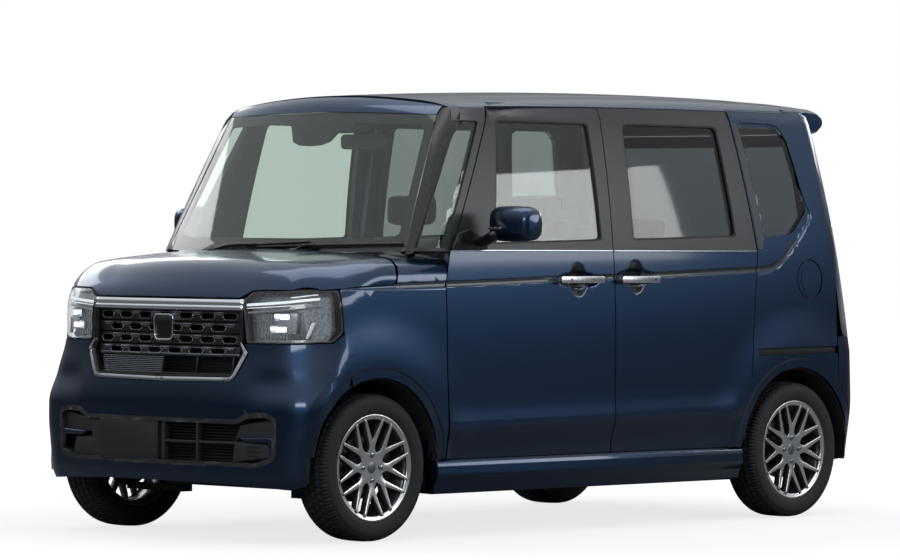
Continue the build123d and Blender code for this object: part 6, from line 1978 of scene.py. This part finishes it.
# ---------------------------------------------------------------- cabin
@dataclass
class Cabin:
    """Dashboard, steering wheel, seats, floor and inner posts."""

    # Sections of a front and a rear seat as (x, z), half widths and how far the faces may swell.
    front_seat: tuple[tuple[str, Table, float, float], ...] = (
        ("cushion", ((0.495, 0.575), (0.495, 0.655), (0.30, 0.672), (0.05, 0.655), (0.035, 0.575)), 0.235, 0.016),
        ("backrest", ((0.10, 0.668), (0.115, 0.72), (-0.015, 1.17), (-0.075, 1.17), (-0.03, 0.69)), 0.225, 0.016),
        ("headrest", ((-0.030, 1.205), (-0.040, 1.325), (-0.115, 1.335), (-0.110, 1.20)), 0.135, 0.012))
    rear_seat: tuple[tuple[str, Table, float, float], ...] = (
        ("cushion", ((-0.24, 0.555), (-0.235, 0.64), (-0.45, 0.655), (-0.67, 0.64), (-0.685, 0.555)), 0.255, 0.016),
        ("backrest", ((-0.62, 0.665), (-0.655, 0.70), (-0.765, 1.12), (-0.83, 1.12), (-0.745, 0.665)), 0.25, 0.016),
        ("headrest", ((-0.775, 1.135), (-0.80, 1.24), (-0.87, 1.245), (-0.855, 1.13)), 0.12, 0.012))

    def build(self) -> None:
        """Builds the inside of the car."""
        self.dashboard()
        self.steering_wheel()
        for row, middle, node, parts in (("front", 0.34, "front_seats", self.front_seat),
                                         ("rear", 0.27, "rear_seat", self.rear_seat)):
            for side in Side:
                self.seat(side, row, side.value * middle, node, parts)
        self.headrest_posts()
        for side in Side:
            self.door_frame(side)
        self.carpet()
        self.screen_top()

    @staticmethod
    def dashboard() -> None:
        """Shelf dashboard with binnacle, display, vents and glovebox lines."""
        shelf = [(0.926, 0.765), (0.926, 1.030), (0.870, 1.034), (0.800, 1.028), (0.735, 1.002), (0.682, 0.968),
                 (0.655, 0.925), (0.648, 0.880), (0.655, 0.820), (0.666, 0.775), (0.700, 0.742), (0.760, 0.724)]
        form = Form().prism(rounded([(x, z, 0.015) for x, z in shelf], 3), "y", -0.558, 0.558, 0.006)
        binnacle = [(0.640, 0.905, 0.02), (0.640, 0.955, 0.03), (0.735, 1.058, 0.03), (0.815, 1.050, 0.03),
                    (0.83, 1.0, 0.01)]
        form.prism(rounded(binnacle, 4), "y", -0.50, -0.19, 0.012)
        form.prism(rounded(box(0.642, 0.668, -0.09, 0.13, 0.01), 3), "z", 0.93, 1.055, 0.004, 1)
        for y0, y1 in ((-0.545, -0.485), (0.485, 0.545), (-0.09, 0.02), (0.03, 0.13)):
            for k in range(5):
                z = 0.872 + 0.009 * k
                form.block((0.640, y0, z), (0.652, y1, z + 0.003), 0.0008, 1, segments=1)
        form.block((0.636, 0.17, 0.905), (0.70, 0.545, 0.915), 0.003)
        form.block((0.642, 0.17, 0.775), (0.66, 0.47, 0.865), 0.005)
        Dress("trim", "body", ("dashboard",)).piece("dashboard_moulding", form, DASH, GLOSS_BLACK)

    @staticmethod
    def steering_wheel() -> None:
        """Leather rim, three spokes and horn pad, raked, and the column's shroud."""
        centre, tilt = Vector((0.560, -0.340, 0.960)), math.radians(28)
        axis = Vector((-math.cos(tilt), 0.0, math.sin(tilt)))
        round_14 = [(math.cos(math.tau * k / 14), math.sin(math.tau * k / 14)) for k in range(14)]
        form = Form().turned([(0.176 + 0.0135 * c, 0.0155 * s) for c, s in round_14], centre, axis, 96)
        pad = [(0.0, 0.018), (0.040, 0.016), (0.056, 0.006), (0.060, -0.010), (0.050, -0.028), (0.0, -0.032)]
        form.turned(pad, centre, axis, 40, 1, closed=False)
        across = Vector((0, 1, 0))
        up = axis.cross(across)
        for cos, sin in ((1, 0), (-1, 0), (0, -1)):
            out = across * cos + up * sin
            side = axis.cross(out)
            form.loft([[centre + out * r + side * half * c + axis * thick * s
                        for c, s in arc(0.0, 0.0, 1.0, 0, 330, 11)]
                       for r, half, thick in ((0.045, 0.026, 0.010), (0.09, 0.018, 0.008),
                                              (0.13, 0.014, 0.007), (0.172, 0.016, 0.008))], 2)
        Dress("trim", "steering_wheel", ("steering_wheel",)).piece(
            "steering_wheel_rim", form, LEATHER, TRIM, DARK_CHROME)
        column = Form().tube([centre - axis * reach for reach in (0.035, 0.095, 0.155)], 0.032, 20)
        Dress("trim").piece("steering_column_shroud", column, TRIM)

    @staticmethod
    def seat(side: Side, row: str, middle: float, node: str, parts: Sequence[tuple]) -> None:
        """Padded cushion, backrest and headrest of one seat, each swollen from a smaller block.

        Args:
            side: side of the car.
            row: front or rear.
            middle: place of the seat across the car.
            node: construction node of the row, which the left cushion stands for.
            parts: name, section, half width and swell of each part.
        """
        for part, outline, half, swell in parts:
            section = rounded([(x, z, 0.03) for x, z in outline], 4)
            form = Form().prism(section, "y", middle - half + 0.012, middle + half - 0.012, 0.022)
            stands = (node,) if part == "cushion" and side is Side.LEFT else ()
            piece = Dress("fabric", "body", stands).piece(f"{row}_{part}_{side.hand}", form, SEAT_CLOTH)
            inflate(piece, swell)

    @staticmethod
    def headrest_posts() -> None:
        """Bright posts under the front headrests."""
        posts = Form()
        for y in (0.39, 0.29, -0.29, -0.39):
            posts.tube([(-0.045, y, 1.15), (-0.06, y, 1.18), (-0.068, y, 1.24)], 0.0065)
        Dress("chrome").piece("headrest_posts", posts, DARK_CHROME)

    @staticmethod
    def door_frame(side: Side) -> None:
        """Inner sill, post and rails, so that open doors show a finished frame."""
        form = Form().prism([(0.62, 0.305), (0.62, 0.215), (0.700, 0.215), (0.700, 0.305)], "x", -0.93, 0.90, 0.006)
        # Middle post and front post: sections as (height, both ends along the car, inner, outer).
        for post in (((0.31, -0.055, -0.175, 0.655, 0.703), (1.10, -0.085, -0.165, 0.640, 0.682),
                      (1.66, -0.095, -0.155, 0.565, 0.596)),
                     ((0.31, 0.865, 0.92, 0.60, 0.70), (1.08, 0.865, 0.92, 0.60, 0.69))):
            form.loft([[(x, y, z) for x, y, _ in box(x0, x1, y0, y1)] for z, x0, x1, y0, y1 in post])
        rail = ((0.545, 1.655), (0.545, 1.69), (0.59, 1.69), (0.59, 1.655))
        form.loft([[(x, y, z) for y, z in rail] for x in (0.48, -1.25)])
        Dress("painted", edge=0.004).sided(side, "inner_door_frame", form, PAINT)

    @staticmethod
    def carpet() -> None:
        """Carpet of the floor and the load bay."""
        form = Form().block((-0.20, -0.60, 0.246), (0.80, 0.60, 0.252), 0.002)
        form.block((-1.50, -0.56, 0.471), (-0.86, 0.56, 0.476), 0.002)
        Dress("trim").piece("floor_carpet", form, CARPET)

    @staticmethod
    def screen_top() -> None:
        """Interior mirror, sensor housing and two sun visors behind the glass."""
        housing = [(0.735, 1.560, 0.012), (0.70, 1.612, 0.01), (0.64, 1.616, 0.02), (0.64, 1.585, 0.02)]
        form = Form().prism(rounded(housing, 4), "y", -0.085, 0.085, 0.006)
        mirror = rounded([(-0.07, 1.505, 0.02), (0.17, 1.505, 0.02), (0.175, 1.565, 0.025),
                          (-0.075, 1.565, 0.025)], 5)
        form.prism(mirror, "x", 0.600, 0.628, 0.006)
        form.tube([(0.614, 0.05, 1.555), (0.64, 0.03, 1.585), (0.675, 0.0, 1.598)], 0.009)
        Dress("trim").piece("interior_mirror_and_sensor", form, TRIM)
        visors = Form()
        for y in (0.30, -0.30):
            visor = [(y - 0.17, 1.612, 0.02), (y + 0.17, 1.612, 0.02), (y + 0.165, 1.655, 0.01),
                     (y - 0.165, 1.655, 0.01)]
            visors.prism(rounded(visor, 4), "x", 0.535, 0.552, 0.005)
        Dress("fabric").piece("sun_visors", visors, HEADLINING)


SEAT_GRID = 0.024
STUFFING_FRAMES = 20


def inflate(piece: bpy.types.Object, cap: float) -> None:
    """Swells a block into a padded cushion with a short pressure run.

    Args:
        piece: the block, finished and riding already.
        cap: farthest that any point may move.
    """
    scene = bpy.context.scene
    shrink = piece.modifiers.new("even_grid", "REMESH")
    shrink.mode = "VOXEL"
    shrink.voxel_size = SEAT_GRID
    shrink.use_smooth_shade = True
    settle(piece)
    start = [vert.co.copy() for vert in piece.data.vertices]
    cloth = piece.modifiers.new("stuffing", "CLOTH")
    cloth.settings.use_pressure = True
    cloth.settings.uniform_pressure_force = 4.0
    cloth.settings.effector_weights.gravity = 0.0
    cloth.point_cache.frame_start, cloth.point_cache.frame_end = 1, STUFFING_FRAMES
    for frame in range(1, STUFFING_FRAMES + 1):
        scene.frame_set(frame)
    settle(piece)
    for vert, old in zip(piece.data.vertices, start):
        step = vert.co - old
        if step.length > cap:
            vert.co = old + step.normalized() * cap
    scene.frame_set(1)
    rounds = piece.modifiers.new("soft_form", "SUBSURF")
    rounds.levels = rounds.render_levels = 1


def settle(piece: bpy.types.Object) -> None:
    """Applies the modifiers of a piece to its mesh."""
    graph = bpy.context.evaluated_depsgraph_get()
    mesh = bpy.data.meshes.new_from_object(piece.evaluated_get(graph), depsgraph=graph)
    old = piece.data
    piece.modifiers.clear()
    piece.data = mesh
    mesh.name = old.name + "_mesh"
    bpy.data.meshes.remove(old)
    for polygon in mesh.polygons:
        polygon.use_smooth = True


# ---------------------------------------------------------------- plain nodes that stay
@dataclass
class PlainNodes:
    """Finishes of the construction parts that keep their own shape."""

    finishes: tuple[tuple[str, Finish], ...] = (
        ("floor_pan", UNDERSEAL), ("wheelhouses", UNDERSEAL), ("seat_bases", TRIM), ("engine_block", CAST_IRON),
        ("exhaust", STEEL), ("front_suspension", CAST_IRON), ("struts", UNDERSEAL), ("rear_axle", CAST_IRON),
        ("knuckle_left", CAST_IRON), ("knuckle_right", CAST_IRON))

    def build(self) -> None:
        """Gives each node its finish."""
        for name, finish in self.finishes:
            node = bpy.data.objects[name]
            node.data.materials.clear()
            node.data.materials.append(finish.material())


PARTS = (PlainNodes(), Flanks(), UpperBody(), FrontEnd(), Lamps(), Wheels(), SmallParts(), Tail(), Cabin())


# ---------------------------------------------------------------- studio
WHITE = (1.0, 1.0, 1.0, 1.0)


@dataclass
class Studio:
    """Camera, pale floor and soft lamps."""

    eye: tuple[float, float, float] = (14.48185, 13.48951, 1.17390)
    yaw: float = 0.751928665
    pitch: float = 0.011976245
    roll: float = 0.0068541702
    focal_px: float = 4851.671
    centre_px: tuple[float, float] = (450.264, 291.221)
    image: tuple[float, float] = (900.0, 560.0)
    sensor: float = 36.0
    # Name, place, aim, size and power of each soft box.
    boxes: tuple[tuple, ...] = (
        ("top_box", (0.2, 0.3, 4.6), (0.0, 0.0, 0.0), (5.0, 2.8), 95.0),
        ("side_strip", (-3.6, 6.2, 2.3), (0.0, 0.7, 0.8), (4.8, 1.3), 95.0),
        ("front_strip", (6.4, 3.4, 2.4), (1.6, 0.0, 0.8), (3.0, 0.9), 70.0),
        ("far_strip", (-0.5, -5.0, 3.2), (0.0, 0.0, 1.0), (6.0, 1.2), 90.0),
        ("rear_strip", (-6.0, 0.5, 2.8), (-1.6, 0.0, 1.0), (3.0, 1.2), 60.0))

    def build(self) -> None:
        """Sets up the whole studio."""
        self.camera()
        self.floor()
        self.lamps()
        self.room()
        bpy.context.scene.view_settings.view_transform = "Standard"

    def camera(self) -> None:
        """Long lens at the car's left front corner."""
        level = math.cos(self.pitch)
        look = Vector((-math.cos(self.yaw) * level, -math.sin(self.yaw) * level, -math.sin(self.pitch)))
        right = Vector((-math.sin(self.yaw), math.cos(self.yaw), 0.0))
        up = right.cross(look)
        tilt_right = right * math.cos(self.roll) + up * math.sin(self.roll)
        tilt_up = up * math.cos(self.roll) - right * math.sin(self.roll)
        data = bpy.data.cameras.new("camera")
        data.sensor_width = self.sensor
        data.lens = self.focal_px / self.image[0] * self.sensor
        data.shift_x = (self.image[0] / 2 - self.centre_px[0]) / self.image[0]
        data.shift_y = (self.centre_px[1] - self.image[1] / 2) / self.image[0]
        data.clip_end = 200.0
        camera = bpy.data.objects.new("camera", data)
        matrix = Matrix((tilt_right, tilt_up, -look)).transposed().to_4x4()
        matrix.translation = self.eye
        camera.matrix_world = matrix
        bpy.context.scene.collection.objects.link(camera)
        bpy.context.scene.camera = camera

    def floor(self) -> None:
        """Seamless pale floor that keeps the shadow."""
        bm = bmesh.new()
        bmesh.ops.create_grid(bm, x_segments=4, y_segments=4, size=40.0)
        mesh = bpy.data.meshes.new("studio_floor")
        bm.to_mesh(mesh)
        bm.free()
        floor = bpy.data.objects.new("studio_floor", mesh)
        bpy.context.scene.collection.objects.link(floor)
        mesh.materials.append(self.paper())

    @staticmethod
    def seen(tree: bpy.types.NodeTree) -> tuple[bpy.types.Node, bpy.types.NodeSocket]:
        """Light path node, and the socket that is 1 where the camera looks, also through glass."""
        rays = add(tree, "LightPath")
        either = add(tree, "Math", links={0: rays.outputs["Is Camera Ray"], 1: rays.outputs["Is Transmission Ray"]},
                     operation="MAXIMUM")
        return rays, either.outputs[0]

    @staticmethod
    def ramp(tree: bpy.types.NodeTree, value: bpy.types.NodeSocket, source: tuple[float, float],
             target: tuple[float, float]) -> bpy.types.NodeSocket:
        """Adds a straight ramp and hands back its result.

        Args:
            tree: node tree that gets it.
            value: socket that drives it.
            source: value at its start and its end.
            target: result at its start and its end.

        Returns:
            The socket with the result.
        """
        return add(tree, "MapRange", links={"Value": value}, inputs={
            "From Min": source[0], "From Max": source[1], "To Min": target[0],
            "To Max": target[1]}).outputs["Result"]

    def paper(self) -> bpy.types.Material:
        """Matt paper, white to the camera and a touch darker under the car, so that the shadow stays."""
        mat = bpy.data.materials.new("white_background_paper")
        mat.use_nodes = True
        tree = mat.node_tree
        tree.nodes.clear()
        place = add(tree, "TexCoord")
        grain = add(tree, "TexNoise", links={"Vector": place.outputs["Object"]}, inputs={"Scale": 3.0})
        fibre = add(tree, "ValToRGB", links={"Fac": grain.outputs["Fac"]})
        fibre.color_ramp.elements[0].color = linear("#7c7d7f")
        fibre.color_ramp.elements[1].color = linear("#808080")
        paper = add(tree, "BsdfDiffuse", links={"Color": fibre.outputs["Color"]})
        away = add(tree, "VectorMath", links={0: place.outputs["Object"]}, operation="LENGTH")
        rise = self.ramp(tree, away.outputs["Value"], (1.8, 4.5), (0.78, 1.0))
        level = add(tree, "Math", links={0: self.seen(tree)[1], 1: rise}, operation="MULTIPLY")
        glow = add(tree, "Emission", links={"Strength": level.outputs[0]}, inputs={"Color": WHITE})
        both = add(tree, "AddShader", links={0: paper.outputs[0], 1: glow.outputs[0]})
        add(tree, "OutputMaterial", links={"Surface": both.outputs[0]})
        return mat

    def lamps(self) -> None:
        """Soft boxes over and beside the car."""
        for name, place, aim, size, power in self.boxes:
            data = bpy.data.lights.new(name, "AREA")
            data.shape = "RECTANGLE"
            data.size, data.size_y = size
            data.energy = power
            lamp = bpy.data.objects.new(name, data)
            lamp.location = place
            lamp.rotation_euler = (Vector(aim) - Vector(place)).to_track_quat("-Z", "Y").to_euler()
            bpy.context.scene.collection.objects.link(lamp)

    def room(self) -> None:
        """Room that is white to the camera and a rising gradient to the paint and the gloss."""
        world = bpy.data.worlds.new("white_room")
        bpy.context.scene.world = world
        world.use_nodes = True
        tree = world.node_tree
        tree.nodes.clear()
        rays, seen = self.seen(tree)
        height = add(tree, "SeparateXYZ", links={"Vector": add(tree, "TexCoord").outputs["Generated"]}).outputs["Z"]
        rise = self.ramp(tree, height, (-0.1, 0.7), (0.12, 0.50))
        shine = self.ramp(tree, height, (0.02, 0.55), (0.06, 0.9))
        level = add(tree, "Mix", links={"Factor": rays.outputs["Is Glossy Ray"], "A": rise, "B": shine})
        soft = add(tree, "Background", links={"Strength": level.outputs[0]}, inputs={"Color": linear("#eef2f7")})
        white = add(tree, "Background", inputs={"Color": WHITE, "Strength": 1.0})
        mix = add(tree, "MixShader", links={0: seen, 1: soft.outputs[0], 2: white.outputs[0]})
        add(tree, "OutputWorld", links={"Surface": mix.outputs[0]})


def main() -> None:
    """Builds the car piece by piece."""
    logging.basicConfig(level=logging.INFO, format="%(name)s: %(message)s")
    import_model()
    for part in PARTS:
        part.build()
        LOG.info("%s done", type(part).__name__)
    Studio().build()


if __name__ == "__main__":
    main()
